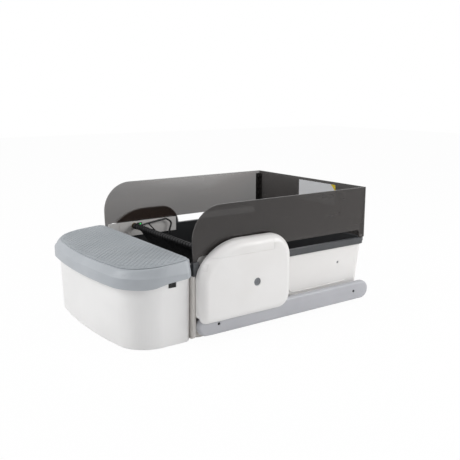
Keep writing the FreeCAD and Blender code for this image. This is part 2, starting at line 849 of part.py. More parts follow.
def fence_rear_panel():
    wide = s.fence_half_width - s.fence_thick - s.seat_gap
    return node("fence_rear_panel", box(-wide, wide, s.fence_rear - s.fence_thick, s.fence_rear,
                                        s.rim_top + s.seat_gap, s.fence_top))


def fence_corner_clip(name, side):
    skin = s.clip_skin
    edge = s.fence_half_width - s.fence_thick - s.seat_gap
    back = s.fence_rear - s.fence_thick - s.seat_gap
    low = s.rim_top + 2 * s.seat_gap
    top = low + s.clip_height
    parts = [box(*span(side, edge - skin, edge), back - s.clip_leg, back, low, top),
             box(*span(side, edge - s.clip_leg, edge), back - skin, back, low, top)]
    pitch = s.clip_height / s.clip_rungs
    for k in range(int(float(s.clip_rungs))):
        z = low + pitch * (k + 0.5)
        reach = s.clip_leg - s.rung_inset
        parts.append(box(*span(side, edge - reach, edge - s.over), back - reach, back - s.over,
                         z - s.rung_half, z + s.rung_half))
    return node(name, fuse(parts))


def fence_foot_clips():
    items = []
    for side in SIDES.values():
        inner = s.fence_half_width - s.fence_thick
        front = s.fence_front - s.over
        rear = s.bulkhead_front + s.bulkhead_thick + s.clip_room
        block = box(*span(side, inner - s.foot_clip_inner, s.fence_half_width + s.foot_clip_outer),
                    front, rear, s.bulkhead_top + s.seat_gap, s.foot_clip_top)
        slot = box(*span(side, inner - s.seat_gap, s.fence_half_width + s.seat_gap), front - s.over,
                   rear + s.over, s.fence_leg_low - s.seat_gap, s.foot_clip_top + s.over)
        items.append(cut(block, slot))
    return node("fence_foot_clips", group(items))


# pods: rounded covers outside the fence, each in a body and a cap
def pod_corners(front, rear, inset):
    low, top = s.pod_low + inset, s.pod_top - inset
    front, rear = front + inset, rear - inset
    toe, heel = s.pod_toe_round - inset, s.pod_heel_round - inset
    crown, brow, nose = s.pod_rear_round - inset, s.pod_brow_round - inset, s.pod_nose_round - inset
    angle = math.radians(float(s.pod_brow_angle))
    turn, rise = size(math.sin(angle)), size(math.cos(angle))
    brow_y = front + nose - nose * turn + brow * turn
    join = (front + nose - nose * turn, top - brow + brow * rise)
    return [(front + toe, low, toe, 1), (rear - heel, low), (rear, low + heel, heel, 1),
            (rear, top - crown), (rear - crown, top, crown, 1), (brow_y, top),
            (join[0], join[1], brow, 1), (front, join[1] - nose * rise, nose, 1),
            (front, low + toe)]


def pod_cover(front, rear, side):
    low, high = span(side, s.pod_inner, s.pod_outer)
    outer = plate("YZ_Plane", low, high, pod_corners(front, rear, size(0)))
    round_edges(outer, s.pod_round, flat_at("X", s.pod_outer * side))
    w = s.pod_wall
    low, high = span(side, s.pod_inner - s.over, s.pod_outer - w)
    inner = plate("YZ_Plane", low, high, pod_corners(front, rear, w))
    round_edges(inner, s.pod_round - w, flat_at("X", (s.pod_outer - w) * side))
    g = s.seat_gap
    rail = box(*span(side, s.pod_inner - s.over, s.rail_outer + g), front - s.over, rear + s.over,
               s.pod_low - s.over, s.rail_top + g)
    return cut(outer, inner, rail)


def pod_split(word, side, cover, front, tools):
    # the cap is the part of the cover above the parting line, in front of the cap's rear edge
    low, high = span(side, s.pod_inner - s.over, s.pod_outer + s.over)
    zone = box(low, high, front - s.over, s.pod_cap_rear, s.pod_cap_line, s.pod_top + s.over)
    g = s.seam
    lid = box(low, high, front - s.over, s.pod_cap_rear - g, s.pod_cap_line + g, s.pod_top + s.over)
    node(word + "_pod_shell", cut(cover, zone, *tools))
    node(word + "_pod_cap", common(cover, lid))


def disc_place(side, low, high, radius):
    return rod_x(*span(side, low, high), s.pod_disc_place, s.pod_disc_height, radius)


def pod_disc(word, side):
    face = s.pod_outer - s.pod_disc_recess
    node(word + "_pod_disc", disc_place(side, face - s.pod_wall, face, s.pod_disc_radius))
    return disc_place(side, face - s.pod_wall - s.over, s.pod_outer + s.over,
                      s.pod_disc_radius + s.seat_gap)


# clean button: a slot through the rounded front edge, square to the surface there
def button_place():
    # the outline's point and normal at the button's height, then round the edge by its angle
    nose, brow = float(s.pod_nose_round), float(s.pod_brow_round)
    rise = math.cos(math.radians(float(s.pod_brow_angle)))
    centre_y = float(s.right_pod_front) + nose
    centre_z = float(s.pod_top) - brow + brow * rise - nose * rise
    up = (float(s.button_height) - centre_z) / nose
    across = FreeCAD.Vector(0, -math.sqrt(1 - up * up), up)
    angle = math.radians(float(s.button_angle))
    normal = across * math.cos(angle) + FreeCAD.Vector(math.sin(angle), 0, 0)
    edge = float(s.pod_round)
    middle = FreeCAD.Vector(float(s.pod_outer) - edge, centre_y, centre_z) + across * (nose - edge)
    return middle + normal * edge, normal


def button_prism(kind, half_wide, half_tall, low, high):
    # a block or a rod that stands on the button's axis; heights are measured from the surface
    point, normal = button_place()
    side = FreeCAD.Vector(0, 0, 1).cross(normal).normalize()
    turn = FreeCAD.Rotation(side, normal.cross(side), normal, "ZXY")
    item = fresh(kind, "button_part")
    corner = FreeCAD.Vector(0, 0, float(low))
    if kind == "Part::Box":
        bind(item, Length=half_wide * 2, Width=half_tall * 2, Height=high - low)
        corner = FreeCAD.Vector(-float(half_wide), -float(half_tall), float(low))
    else:
        bind(item, Radius=half_wide, Height=high - low)
    item.Placement = FreeCAD.Placement(point + turn.multVec(corner), turn)
    return item


def clean_button(cover):
    wide, tall = s.button_wide / 2, s.button_tall / 2
    deep, proud = s.button_block_depth, s.button_block_proud
    face = common(cover, button_prism("Part::Box", wide, tall, -deep, proud))
    stem = button_prism("Part::Cylinder", s.button_stem_radius, tall,
                        -(s.pod_wall + s.button_stem), -s.pod_wall / 2)
    node("clean_button", fuse([face, stem]))
    gap = s.button_gap
    return button_prism("Part::Box", wide + gap, tall + gap, -deep, proud)


def carriage_frame(word, side, front, rear, extras):
    g, t = s.seat_gap, s.frame_thick
    low, high = span(side, s.pod_inner + g, s.pod_inner + g + t)
    panel = plate("YZ_Plane", low, high, pod_corners(front, rear, s.pod_wall + g))
    below = box(*span(side, s.pod_inner - s.over, s.pod_inner + t + s.over), front - s.over, rear + s.over,
                s.pod_low - s.over, s.frame_low)
    hub = rod_x(*span(side, s.pod_inner - s.over, s.pod_inner + t + s.over), s.travel_pinion_place,
                pinion_height(), s.motor_shaft_radius + s.running_gap)
    node(word + "_carriage_frame", cut(fuse([cut(panel, below)] + extras), hub, shaft_hole(side)))


def shaft_hole(side):
    inner = s.skirt_plate_outer - s.skirt_plate_thick
    return rod_x(*span(side, inner - s.over, s.pod_inner + s.frame_thick + s.over), s.shaft_place,
                 s.shaft_height, s.bush_outer_radius + s.running_gap)


# the arm passes through the fence's slot and holds the skirt plate inside the fence
def carriage_arm(word, side, holes):
    arm = box(*span(side, s.skirt_plate_outer - s.over, s.pod_inner + s.seat_gap), s.arm_front,
              s.arm_rear, s.arm_low, s.arm_top)
    plate_low = s.skirt_plate_outer - s.skirt_plate_thick
    hanger = plate("YZ_Plane", *span(side, plate_low, s.skirt_plate_outer),
                   rectangle(s.arm_front, s.arm_rear, s.skirt_plate_low, s.arm_top,
                             s.hanger_corner))
    return node(word + "_carriage_arm", cut(fuse([arm, hanger]), shaft_hole(side), *holes))


def glide_shoes(word, side, rear):
    # pads under the frame that ride on the rail's flat top
    half = s.shoe_length / 2
    shoes = [box(*span(side, s.pod_inner + s.seat_gap, s.shoe_outer), y - half, y + half,
                 s.rail_top + s.seat_gap, s.frame_low - s.seat_gap)
             for y in (s.travel_pinion_place + s.heel_room, rear - s.heel_room)]
    return node(word + "_glide_shoes", group(shoes))


def pinion_height():
    return s.rack_pitch_height + s.pinion_teeth * s.gear_module / 2


def travel_drive(word, side):
    y, z = s.travel_pinion_place, pinion_height()
    face = s.pod_inner + s.seat_gap + s.frame_thick + s.seat_gap
    can = rod_x(*span(side, face, face + s.motor_depth), y, z, s.motor_radius)
    shaft_hole = rod_x(*span(side, face - s.over, face + s.motor_bore_depth), y, z,
                       s.motor_shaft_radius + s.running_gap)
    node(word + "_travel_motor", cut(can, shaft_hole))
    low, high = span(side, s.rack_inner, s.rack_outer)
    teeth = float(s.pinion_teeth)
    phase = -math.pi / 2
    gear = wheel(float(low), float(high), float(y), float(z), teeth, float(s.gear_module), phase,
                 float(s.motor_shaft_radius - s.wheel_bite))
    shaft = rod_x(*span(side, s.rack_inner, face + s.motor_bore_depth - s.over), y, z,
                  s.motor_shaft_radius)
    node(word + "_travel_pinion", fuse([teeth_feature("pinion_teeth", gear), shaft]))


def shaft_bush(word, side):
    inner = s.skirt_plate_outer - s.skirt_plate_thick
    face = s.pod_inner + s.seat_gap + s.frame_thick
    end = inner - s.seat_gap - s.bush_flange_thick
    y, z = s.shaft_place, s.shaft_height
    sleeve = rod_x(*span(side, end, face), y, z, s.bush_outer_radius)
    flange = rod_x(*span(side, end, inner - s.seat_gap), y, z, s.bush_flange_radius)
    hole = rod_x(*span(side, end - s.over, face + s.over), y, z, s.shaft_radius + s.running_gap)
    return node(word + "_shaft_bush", cut(fuse([sleeve, flange]), hole))


# rake drive in the right pod, and the parts in the left pod
def rake_pinion_place():
    angle = math.radians(float(s.rake_motor_angle))
    reach = (s.rake_gear_teeth + s.rake_pinion_teeth) * s.rake_gear_module / 2
    return s.shaft_place + reach * math.cos(angle), s.shaft_height + reach * math.sin(angle)


def motor_face():
    return s.rake_gear_inner + s.rake_gear_thick + 2 * s.seat_gap


def rake_motor_posts():
    y, z = rake_pinion_place()
    posts = []
    for turn in (-60, 60):
        angle = math.radians(float(s.rake_motor_angle) + turn)
        posts.append(rod_x(s.pod_inner + s.frame_thick, motor_face(),
                           y + s.motor_post_circle * math.cos(angle),
                           z + s.motor_post_circle * math.sin(angle), s.post_radius))
    return posts


def rake_motor():
    y, z = rake_pinion_place()
    face = motor_face()
    can = rod_x(face, s.rake_motor_outer, y, z, s.rake_motor_radius)
    flange = rod_x(face, face + s.motor_flange_thick, y, z, s.motor_flange_radius)
    hole = rod_x(face - s.over, face + s.rake_motor_bore_depth, y, z,
                 s.motor_shaft_radius + s.running_gap)
    return node("rake_motor", cut(fuse([can, flange]), hole))


def rake_wheels():
    low, high = s.rake_gear_inner, s.rake_gear_inner + s.rake_gear_thick
    module, angle = float(s.rake_gear_module), math.radians(float(s.rake_motor_angle))
    gear = wheel(float(low), float(high), float(s.shaft_place), float(s.shaft_height),
                 float(s.rake_gear_teeth), module, angle, float(s.shaft_radius + s.running_gap))
    node("rake_gear", teeth_feature("rake_gear_teeth", gear))
    y, z = rake_pinion_place()
    teeth = float(s.rake_pinion_teeth)
    pinion = wheel(float(low), float(high), float(y), float(z), teeth, module,
                   angle + math.pi + math.pi / teeth, float(s.motor_shaft_radius - s.wheel_bite))
    shaft = rod_x(low, motor_face() + s.rake_motor_bore_depth - s.over, y, z,
                  s.motor_shaft_radius)
    node("rake_drive_pinion", fuse([teeth_feature("rake_pinion_teeth", pinion), shaft]))


# the board's parts: place to the rear and up from its corner, width and thickness
BOARD_PARTS = [(14, 12, 16, 2), (44, 30, 12, 3), (60, 10, 10, 6)]


def board_corners():
    inset = s.post_radius * 2
    return [(y, z) for y in (s.board_front + inset, s.board_rear - inset)
            for z in (s.board_low + inset, s.board_top - inset)]


def board_posts():
    return [rod_x(*span(-1, s.pod_inner + s.frame_thick, s.board_inner), y, z, s.post_radius)
            for y, z in board_corners()]


def control_board():
    outer = s.board_inner + s.board_thick
    board = box(*span(-1, s.board_inner, outer), s.board_front, s.board_rear, s.board_low,
                s.board_top)
    chips = [box(*span(-1, outer - s.board_thick / 2, outer + tall), s.board_front + y,
                 s.board_front + y + wide, s.board_low + z, s.board_low + z + wide)
             for y, z, wide, tall in BOARD_PARTS]
    return node("control_board", fuse([board] + chips))


def light_rod(low, high, radius):
    return rod_x(*span(-1, low, high), s.light_place, s.light_height, radius)


def status_light():
    inner = s.skirt_plate_outer - s.skirt_plate_thick
    return node("status_light", light_rod(inner - s.over, s.skirt_plate_outer, s.light_radius))


def power_inlet():
    rear, x, z = s.left_pod_rear - s.inlet_recess, -s.inlet_side, s.inlet_height
    barrel = rod_y(x, rear - s.inlet_depth, rear, z, s.inlet_radius)
    floor = rear - s.inlet_depth + s.inlet_floor
    hole = rod_y(x, floor, rear + s.over, z, s.inlet_radius - s.inlet_wall)
    pin = rod_y(x, floor - s.over, rear - s.over, z, s.inlet_pin_radius)
    node("power_inlet", fuse([cut(barrel, hole), pin]))
    return rod_y(x, rear - s.inlet_depth, rear + s.inlet_bore_reach, z,
                 s.inlet_radius + s.seat_gap)


# rake: a shaft with a sleeve of tines, and a bent hoop at each end
def rake_shaft():
    right = s.rake_gear_inner + s.rake_gear_thick + s.seat_gap
    return node("rake_shaft", rod_x(-s.shaft_left_end, right, s.shaft_place, s.shaft_height,
                                    s.shaft_radius))


def rake_comb():
    y, z = s.shaft_place, s.shaft_height
    length = s.shaft_height - s.ramp_floor - s.ramp_gap - s.tine_socket
    items, tines = [rod_x(-s.sleeve_half_width, s.sleeve_half_width, y, z, s.sleeve_radius)], []
    angle = math.radians(float(s.tine_rest_angle))
    lean, fall = size(math.sin(angle)), size(math.cos(angle))
    count = int(float(s.tine_count))
    for k in range(count):
        x = s.tine_pitch * (k - (count - 1) / 2)
        half = s.tine_collar_width / 2
        items.append(rod_x(x - half, x + half, y, z, s.tine_collar_radius))
        tine = fresh("Part::Cone", "tine")
        tine.Placement.Rotation = FreeCAD.Rotation(FreeCAD.Vector(1, 0, 0),
                                                   float(s.tine_rest_angle) - 180)
        bind(tine, Radius1=s.tine_root_radius, Radius2=s.tine_tip_radius, Height=length)
        tines.append(bind(tine, Placement__Base__x=x, Placement__Base__y=y + s.tine_socket * lean,
                          Placement__Base__z=z - s.tine_socket * fall))
    bore = rod_x(-s.sleeve_half_width - s.over, s.sleeve_half_width + s.over, y, z,
                 s.shaft_radius + s.running_gap)
    node("rake_comb", cut(fuse(items), bore, *tines))
    return node("rake_tines", group(tines))


# the hoop's route from the shaft, as distances to the rear and up, with the radius of each bend
HOOP_ROUTE = [(5.5, 1.0, 0), (98.0, 12.6, 9), (117.0, 0.0, 10), (88.0, -86.0, 0)]
HOOP_BRACE = [(38.0, 5.4, 0), (97.0, -59.0, 0)]


def bent_rod(x, route, radius):
    # straight runs joined by tangent arcs, swept with a round section
    base = FreeCAD.Vector(float(x), float(s.shaft_place), float(s.shaft_height))
    points = [base + FreeCAD.Vector(0, y, z) for y, z, bend in route]
    edges, start = [], points[0]
    for i in range(1, len(points) - 1):
        back = (points[i - 1] - points[i]).normalize()
        on = (points[i + 1] - points[i]).normalize()
        half = back.getAngle(on) / 2
        reach = route[i][2] / math.tan(half)
        centre = points[i] + (back + on).normalize() * (route[i][2] / math.sin(half))
        middle = centre + (points[i] - centre).normalize() * route[i][2]
        first, last = points[i] + back * reach, points[i] + on * reach
        edges += [Part.LineSegment(start, first).toShape(), Part.Arc(first, middle, last).toShape()]
        start = last
    edges.append(Part.LineSegment(start, points[-1]).toShape())
    heading = points[1] - points[0]
    ring = Part.Wire(Part.Circle(points[0], heading, float(radius)).toShape())
    item = fresh("Part::Feature", "bent_rod")
    item.Shape = Part.Wire(edges).makePipeShell([ring], True, False)
    return item


def rake_end_hoops():
    hoops = []
    for side in SIDES.values():
        x, half = s.hoop_place * side, s.hoop_eye_half
        eye = rod_x(x - half, x + half, s.shaft_place, s.shaft_height, s.hoop_eye_radius)
        bore = rod_x(x - half - s.over, x + half + s.over, s.shaft_place, s.shaft_height,
                     s.shaft_radius + s.running_gap)
        rods = [bent_rod(x, HOOP_ROUTE, s.hoop_radius), bent_rod(x, HOOP_BRACE, s.hoop_brace_radius)]
        hoops.append(cut(fuse([eye] + rods), bore))
    return node("rake_end_hoops", group(hoops))


# waste bin: a bowed front, tangent corners and a flat rear wall with the mouth
def bin_outline(offset, rear, front_inset=0, side_inset=0):
    lean = s.bin_corner_start / s.bin_front_radius
    rise = (size(1) - lean * lean).root()
    half = s.bin_half_width + offset - side_inset
    front = s.bin_front - offset + front_inset
    bow = s.bin_front_radius + offset
    start = lean * bow
    corner = (half - start) / (1 - lean)
    bow_end = front + bow * (1 - rise)
    side_start = bow_end + corner * rise
    r = s.bin_rear_corner
    return [(-start, bow_end, corner, 1), (start, bow_end, bow, 1), (half, side_start, corner, 1),
            (half, rear - r), (half - r, rear, r, 1), (-half + r, rear), (-half, rear - r, r, 1),
            (-half, side_start)]


def bin_rear():
    return s.bulkhead_front - s.dock_gap


def window_block(side, low, high, gap):
    return box(*span(side, low, high), s.window_front - gap, s.window_rear + gap,
               s.window_low - gap, s.window_top + gap)


def bin_tub():
    w, rear = s.bin_wall, bin_rear()
    outer = loft([(s.bin_low, bin_outline(-s.bin_draft, rear)), (s.bin_top, bin_outline(size(0), rear))])
    inner = loft([(s.bin_low + w, bin_outline(-s.bin_draft - w, rear - w)),
                  (s.bin_top + s.over, bin_outline(-w, rear - w))])
    mouth = box(-s.mouth_half_width, s.mouth_half_width, rear - w - s.over, rear + s.over, s.mouth_sill,
                s.mouth_top)
    windows = [window_block(side, s.bin_half_width - s.window_depth,
                            s.bin_half_width + s.over, size(0))
               for side in SIDES.values()]
    return node("bin_tub", cut(outer, inner, mouth, *windows))


def bin_window_inserts():
    outer = s.bin_half_width - s.window_recess
    inserts = [window_block(side, outer - s.window_insert_thick, outer, -s.seat_gap)
               for side in SIDES.values()]
    return node("bin_window_inserts", group(inserts))


def bin_feet():
    feet = [rod_z(x, y, 0, s.bin_low, s.bin_foot_radius)
            for x in (-s.bin_foot_side, s.bin_foot_side)
            for y in (s.bin_foot_front, s.bin_foot_rear)]
    return node("bin_feet", group(feet))


def bag_ring():
    w, g, rear = s.bin_wall, s.seat_gap, bin_rear()
    low = s.bin_top - s.ring_height
    outer = plate("XY_Plane", low, s.bin_top, bin_outline(-w - 3 * g, rear - w - g))
    hole = plate("XY_Plane", low - s.over, s.bin_top + s.over,
                 bin_outline(-w - s.ring_width, rear - w - s.ring_width))
    return node("bag_ring", cut(outer, hole))


# lid: a skirt with a waved lower edge, a sloped band and a ribbed step pad on top
def lid_form(inset, low, drop):
    out, rear = s.lid_overhang - inset, s.lid_rear - inset
    top = s.lid_top - s.pad_thick
    shoulder = s.lid_shoulder - drop
    skirt = plate("XY_Plane", low, shoulder, bin_outline(out, rear))
    band = loft([(shoulder, bin_outline(out, rear)),
                 (top - inset, bin_outline(out, rear, s.lid_band_front, s.lid_band_side))])
    return fuse([skirt, band])


def lid_shell():
    w, low = s.lid_wall, s.lid_edge_low
    outer, inner = lid_form(size(0), low, size(0)), lid_form(w, low - s.over, w / 2)
    first, last = s.lid_wave_front, s.lid_wave_rear
    half_run, half_rise = (last - first) / 2, (s.lid_edge_high - low) / 2
    bend = (half_run * half_run + half_rise * half_rise) / (2 * half_rise)
    under = plate("YZ_Plane", -s.bin_half_width * 2, s.bin_half_width * 2,
                  [(s.bin_front * 2, low - s.over), (size(0), low - s.over),
                   (size(0), s.lid_edge_rear),
                   (s.lid_rear, s.lid_edge_rear), (last, s.lid_edge_high),
                   (last - half_run, low + half_rise, bend, 1), (first, low, bend, -1),
                   (s.bin_front * 2, low)])
    rest = s.bin_top + s.seat_gap
    ledge = plate("XY_Plane", rest, rest + s.lid_shelf,
                  bin_outline(s.lid_overhang - s.over, s.lid_rear - s.over))
    gap = plate("XY_Plane", rest - s.over, rest + s.lid_shelf + s.over,
                bin_outline(-s.lid_shelf_reach, s.lid_rear - s.lid_shelf_reach))
    return node("lid_shell", fuse([cut(outer, inner, under), cut(ledge, gap)]))


def lid_step_pad():
    margin = s.pad_margin
    corners = bin_outline(s.lid_overhang - margin, s.lid_rear - margin, s.lid_band_front,
                          s.lid_band_side)
    base = s.lid_top - s.pad_thick
    pad_form = plate("XY_Plane", base, s.lid_top, corners)
    front = s.bin_front - s.lid_overhang + s.lid_band_front + margin
    count = int(float((s.lid_rear - margin - front) / s.pad_pitch))
    grooves = [box(-s.bin_half_width * 2, s.bin_half_width * 2, front + s.pad_pitch * k,
                   front + s.pad_pitch * k + s.pad_groove_width, s.lid_top - s.pad_groove_depth,
                   s.lid_top + s.over)
               for k in range(1, count)]
    return node("lid_step_pad", cut(pad_form, *grooves))


def pods():
    for word, side in SIDES.items():
        front = getattr(s, word + "_pod_front")
        rear = getattr(s, word + "_pod_rear")
        cover = pod_cover(front, rear, side)
        openings, extras, holes = [pod_disc(word, side)], [], []
        if side > 0:
            openings.append(clean_button(cover))
            extras = rake_motor_posts()
        else:
            openings.append(power_inlet())
            extras = board_posts()
            holes = [light_rod(s.skirt_plate_outer - s.skirt_plate_thick - s.over,
                               s.skirt_plate_outer + s.running_gap, s.light_radius + s.running_gap)]
        pod_split(word, side, cover, front, openings)
        carriage_frame(word, side, front, rear, extras)
        carriage_arm(word, side, holes)
        glide_shoes(word, side, rear)
        travel_drive(word, side)
        shaft_bush(word, side)


def build():
    base_chassis()
    rubber_feet()
    front_bulkhead()
    rail_screws()
    litter_tub()
    tub_screws()
    litter_pan()
    rim_frame()
    fence_rear_panel()
    fence_foot_clips()
    for word, side in SIDES.items():
        rail_skirt(word + "_rail_skirt", side)
        gear_rack(word + "_gear_rack", side)
        fence_side(word + "_fence_side", side)
        fence_corner_clip(word + "_corner_clip", side)
    pods()
    rake_motor()
    rake_wheels()
    control_board()
    status_light()
    rake_shaft()
    rake_comb()
    rake_end_hoops()
    bin_tub()
    bin_feet()
    bag_ring()
    bin_window_inserts()
    lid_shell()
    lid_step_pad()


def check_and_export():
    doc.recompute()
    for item in doc.Objects:
        if "Invalid" in item.State or "Error" in item.State:
            raise RuntimeError("failed feature: %s (%s)" % (item.Name, item.Label))
    for item in nodes:
        if item.Shape.isNull() or not item.Shape.isValid() or not item.Shape.Solids:
            raise RuntimeError("bad shape: " + item.Label)
    os.makedirs("parts", exist_ok=True)
    for item in nodes:
        item.Shape.exportStep("parts/%s.step" % item.Label)
        print("%-24s solids %3d  volume %10.1f" % (item.Label, len(item.Shape.Solids),
                                                   item.Shape.Volume))


build()
check_and_export()
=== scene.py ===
import json
import math

import bpy
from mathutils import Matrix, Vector


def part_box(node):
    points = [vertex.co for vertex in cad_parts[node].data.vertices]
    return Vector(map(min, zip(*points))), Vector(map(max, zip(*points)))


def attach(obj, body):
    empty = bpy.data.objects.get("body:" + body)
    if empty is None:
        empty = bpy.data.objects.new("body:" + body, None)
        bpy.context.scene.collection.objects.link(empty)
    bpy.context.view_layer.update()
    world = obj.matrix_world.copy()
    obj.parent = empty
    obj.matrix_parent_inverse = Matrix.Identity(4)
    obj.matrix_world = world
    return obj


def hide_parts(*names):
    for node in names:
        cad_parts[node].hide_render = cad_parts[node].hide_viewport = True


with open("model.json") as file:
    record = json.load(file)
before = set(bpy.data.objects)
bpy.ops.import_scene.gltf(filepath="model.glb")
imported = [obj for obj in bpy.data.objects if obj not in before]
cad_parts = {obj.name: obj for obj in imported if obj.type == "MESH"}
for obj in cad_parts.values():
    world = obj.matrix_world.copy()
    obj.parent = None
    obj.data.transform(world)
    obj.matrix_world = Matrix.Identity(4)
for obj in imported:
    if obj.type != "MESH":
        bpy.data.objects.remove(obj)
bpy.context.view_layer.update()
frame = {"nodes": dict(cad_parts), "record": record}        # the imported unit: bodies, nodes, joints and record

cadNodes = frame["nodes"]
bodyOfNode = {name: body for body, names in frame["record"]["behaviour"]["bodies"].items()
              for name in names}
sides = {"right": 1, "left": -1}
hair, close = 0.00001, 0.0001      # how near a vertex lies to be on a plane, in metres
quarter = math.radians(90)
print("frame loaded:", len(cadNodes), "nodes")


# edit helpers

def leave():
    bpy.ops.object.mode_set(mode="OBJECT")


def takeUp(piece):
    # one object active and selected, all others let go
    if bpy.context.object and bpy.context.object.mode != "OBJECT":
        leave()
    bpy.ops.object.select_all(action="DESELECT")
    piece.select_set(True)
    bpy.context.view_layer.objects.active = piece


def openWhole(piece):
    # edit mode with everything selected
    takeUp(piece)
    bpy.ops.object.mode_set(mode="EDIT")
    bpy.ops.mesh.select_all(action="SELECT")


def started(name):
    # names the primitive that was just added and puts its place in its mesh
    piece = bpy.context.object
    piece.name = name
    piece.data.name = name
    takeUp(piece)
    bpy.ops.object.transform_apply(location=True, rotation=True, scale=True)
    return piece


def pick(piece, kind, wanted):
    # selects what passes the test and stays in edit mode
    takeUp(piece)
    bpy.ops.object.mode_set(mode="EDIT")
    bpy.ops.mesh.select_mode(type=kind)
    bpy.ops.mesh.select_all(action="DESELECT")
    leave()
    mesh = piece.data
    count = 0
    for part in {"VERT": mesh.vertices, "EDGE": mesh.edges, "FACE": mesh.polygons}[kind]:
        part.select = bool(wanted(part))
        count += part.select
    bpy.ops.object.mode_set(mode="EDIT")
    return count


def facing(direction, least):
    way = Vector(direction)
    return lambda face: face.normal.dot(way) > least


def openEdges(mesh):
    # the edges that only one face uses
    uses = {}
    for face in mesh.polygons:
        for key in face.edge_keys:
            uses[key] = uses.get(key, 0) + 1
    return {key for key, count in uses.items() if count == 1}


def creases(mesh, least):
    # the edges at which two faces meet at more than an angle
    normals = {}
    for face in mesh.polygons:
        for key in face.edge_keys:
            normals.setdefault(key, []).append(face.normal)
    return {key for key, pair in normals.items()
            if len(pair) == 2 and pair[0].angle(pair[1], 0.0) > least}


def roundEdges(piece, inside, width, segments, least):
    # bevels the creases whose two ends pass the test
    mesh = piece.data
    sharp = creases(mesh, math.radians(least))
    count = pick(piece, "EDGE", lambda edge: edge.key in sharp
                 and all(inside(mesh.vertices[i].co) for i in edge.vertices))
    if count:
        bpy.ops.mesh.bevel(offset=width, segments=segments, profile=0.5, clamp_overlap=True)
    leave()


def modify(piece, kind, **settings):
    takeUp(piece)
    modifier = piece.modifiers.new(kind.title(), kind)
    for key, value in settings.items():
        setattr(modifier, key, value)
    bpy.ops.object.modifier_apply(modifier=modifier.name)


def combine(piece, operation, tool):
    modify(piece, "BOOLEAN", operation=operation, solver="EXACT", object=tool)
    bpy.data.objects.remove(tool)


def block(name, low, high):
    # a box between two corners
    low, high = Vector(low), Vector(high)
    bpy.ops.mesh.primitive_cube_add(size=1.0, location=(low + high) / 2, scale=high - low)
    return started(name)


def rodAcross(name, place, radius, length, corners):
    # a cylinder along X about a point
    bpy.ops.mesh.primitive_cylinder_add(vertices=corners, radius=radius, depth=length,
                                        location=place, rotation=(0, quarter, 0))
    return started(name)


copyRule = {"weld": 0.000008, "flat": 0.4}


def softCopy(nodeName, pieceName):
    # a merged copy of a CAD node with its flat faces whole again, ready for rounding
    piece = bpy.data.objects.new(pieceName, cadNodes[nodeName].data.copy())
    piece.data.name = pieceName
    bpy.context.scene.collection.objects.link(piece)
    takeUp(piece)
    if piece.data.has_custom_normals:
        bpy.ops.mesh.customdata_custom_splitnormals_clear()
    openWhole(piece)
    bpy.ops.mesh.remove_doubles(threshold=copyRule["weld"])
    bpy.ops.mesh.dissolve_limited(angle_limit=math.radians(copyRule["flat"]))
    leave()
    return piece


def joined(name, parts):
    takeUp(parts[0])
    for part in parts:
        part.select_set(True)
    bpy.ops.object.join()
    parts[0].name = name
    parts[0].data.name = name
    return parts[0]


def repeated(piece, shifts):
    # further copies of a modelled piece, each with its own mesh
    made = []
    for shift in shifts:
        takeUp(piece)
        bpy.ops.object.duplicate(linked=False)
        bpy.ops.transform.translate(value=shift)
        bpy.ops.object.transform_apply(location=True, rotation=False, scale=False)
        made.append(bpy.context.object)
    return made


def settle(piece, material, body, stands=(), smooth=35.0):
    # finish, shading and body of one piece; the CAD nodes it stands for are hidden
    takeUp(piece)
    bpy.ops.object.shade_smooth_by_angle(angle=math.radians(smooth))
    piece.data.materials.clear()
    piece.data.materials.append(material)
    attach(piece, body)
    if stands:
        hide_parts(*stands)
    print("  piece", piece.name, len(piece.data.polygons), "faces")


def standIn(piece, node, smooth=35.0):
    # settles a piece that takes the place of its CAD node
    settle(piece, finishes[nodeFinish[node]], bodyOfNode[node], [node], smooth)


# finishes

class Signal:
    # a shader value; Python's operators add its Math nodes
    def __init__(self, finish, socket):
        self.finish, self.socket = finish, socket

    def join(self, operation, first, second):
        made = self.finish.add("ShaderNodeMath", {"operation": operation}, {0: first, 1: second})
        return Signal(self.finish, made.outputs[0])

    def __add__(self, other):
        return self.join("ADD", self, other)

    def __radd__(self, other):
        return self.join("ADD", other, self)

    def __sub__(self, other):
        return self.join("SUBTRACT", self, other)

    def __rsub__(self, other):
        return self.join("SUBTRACT", other, self)

    def __mul__(self, other):
        return self.join("MULTIPLY", self, other)

    def above(self, limit):
        return self.join("GREATER_THAN", self, limit)

    def greater(self, other):
        return self.join("MAXIMUM", self, other)

    def folded(self):
        # distance to the nearest whole number, 0 to 0.5
        return abs(self.join("FRACT", self, 0) - 0.5)

    def __abs__(self):
        return self.join("ABSOLUTE", self, 0)


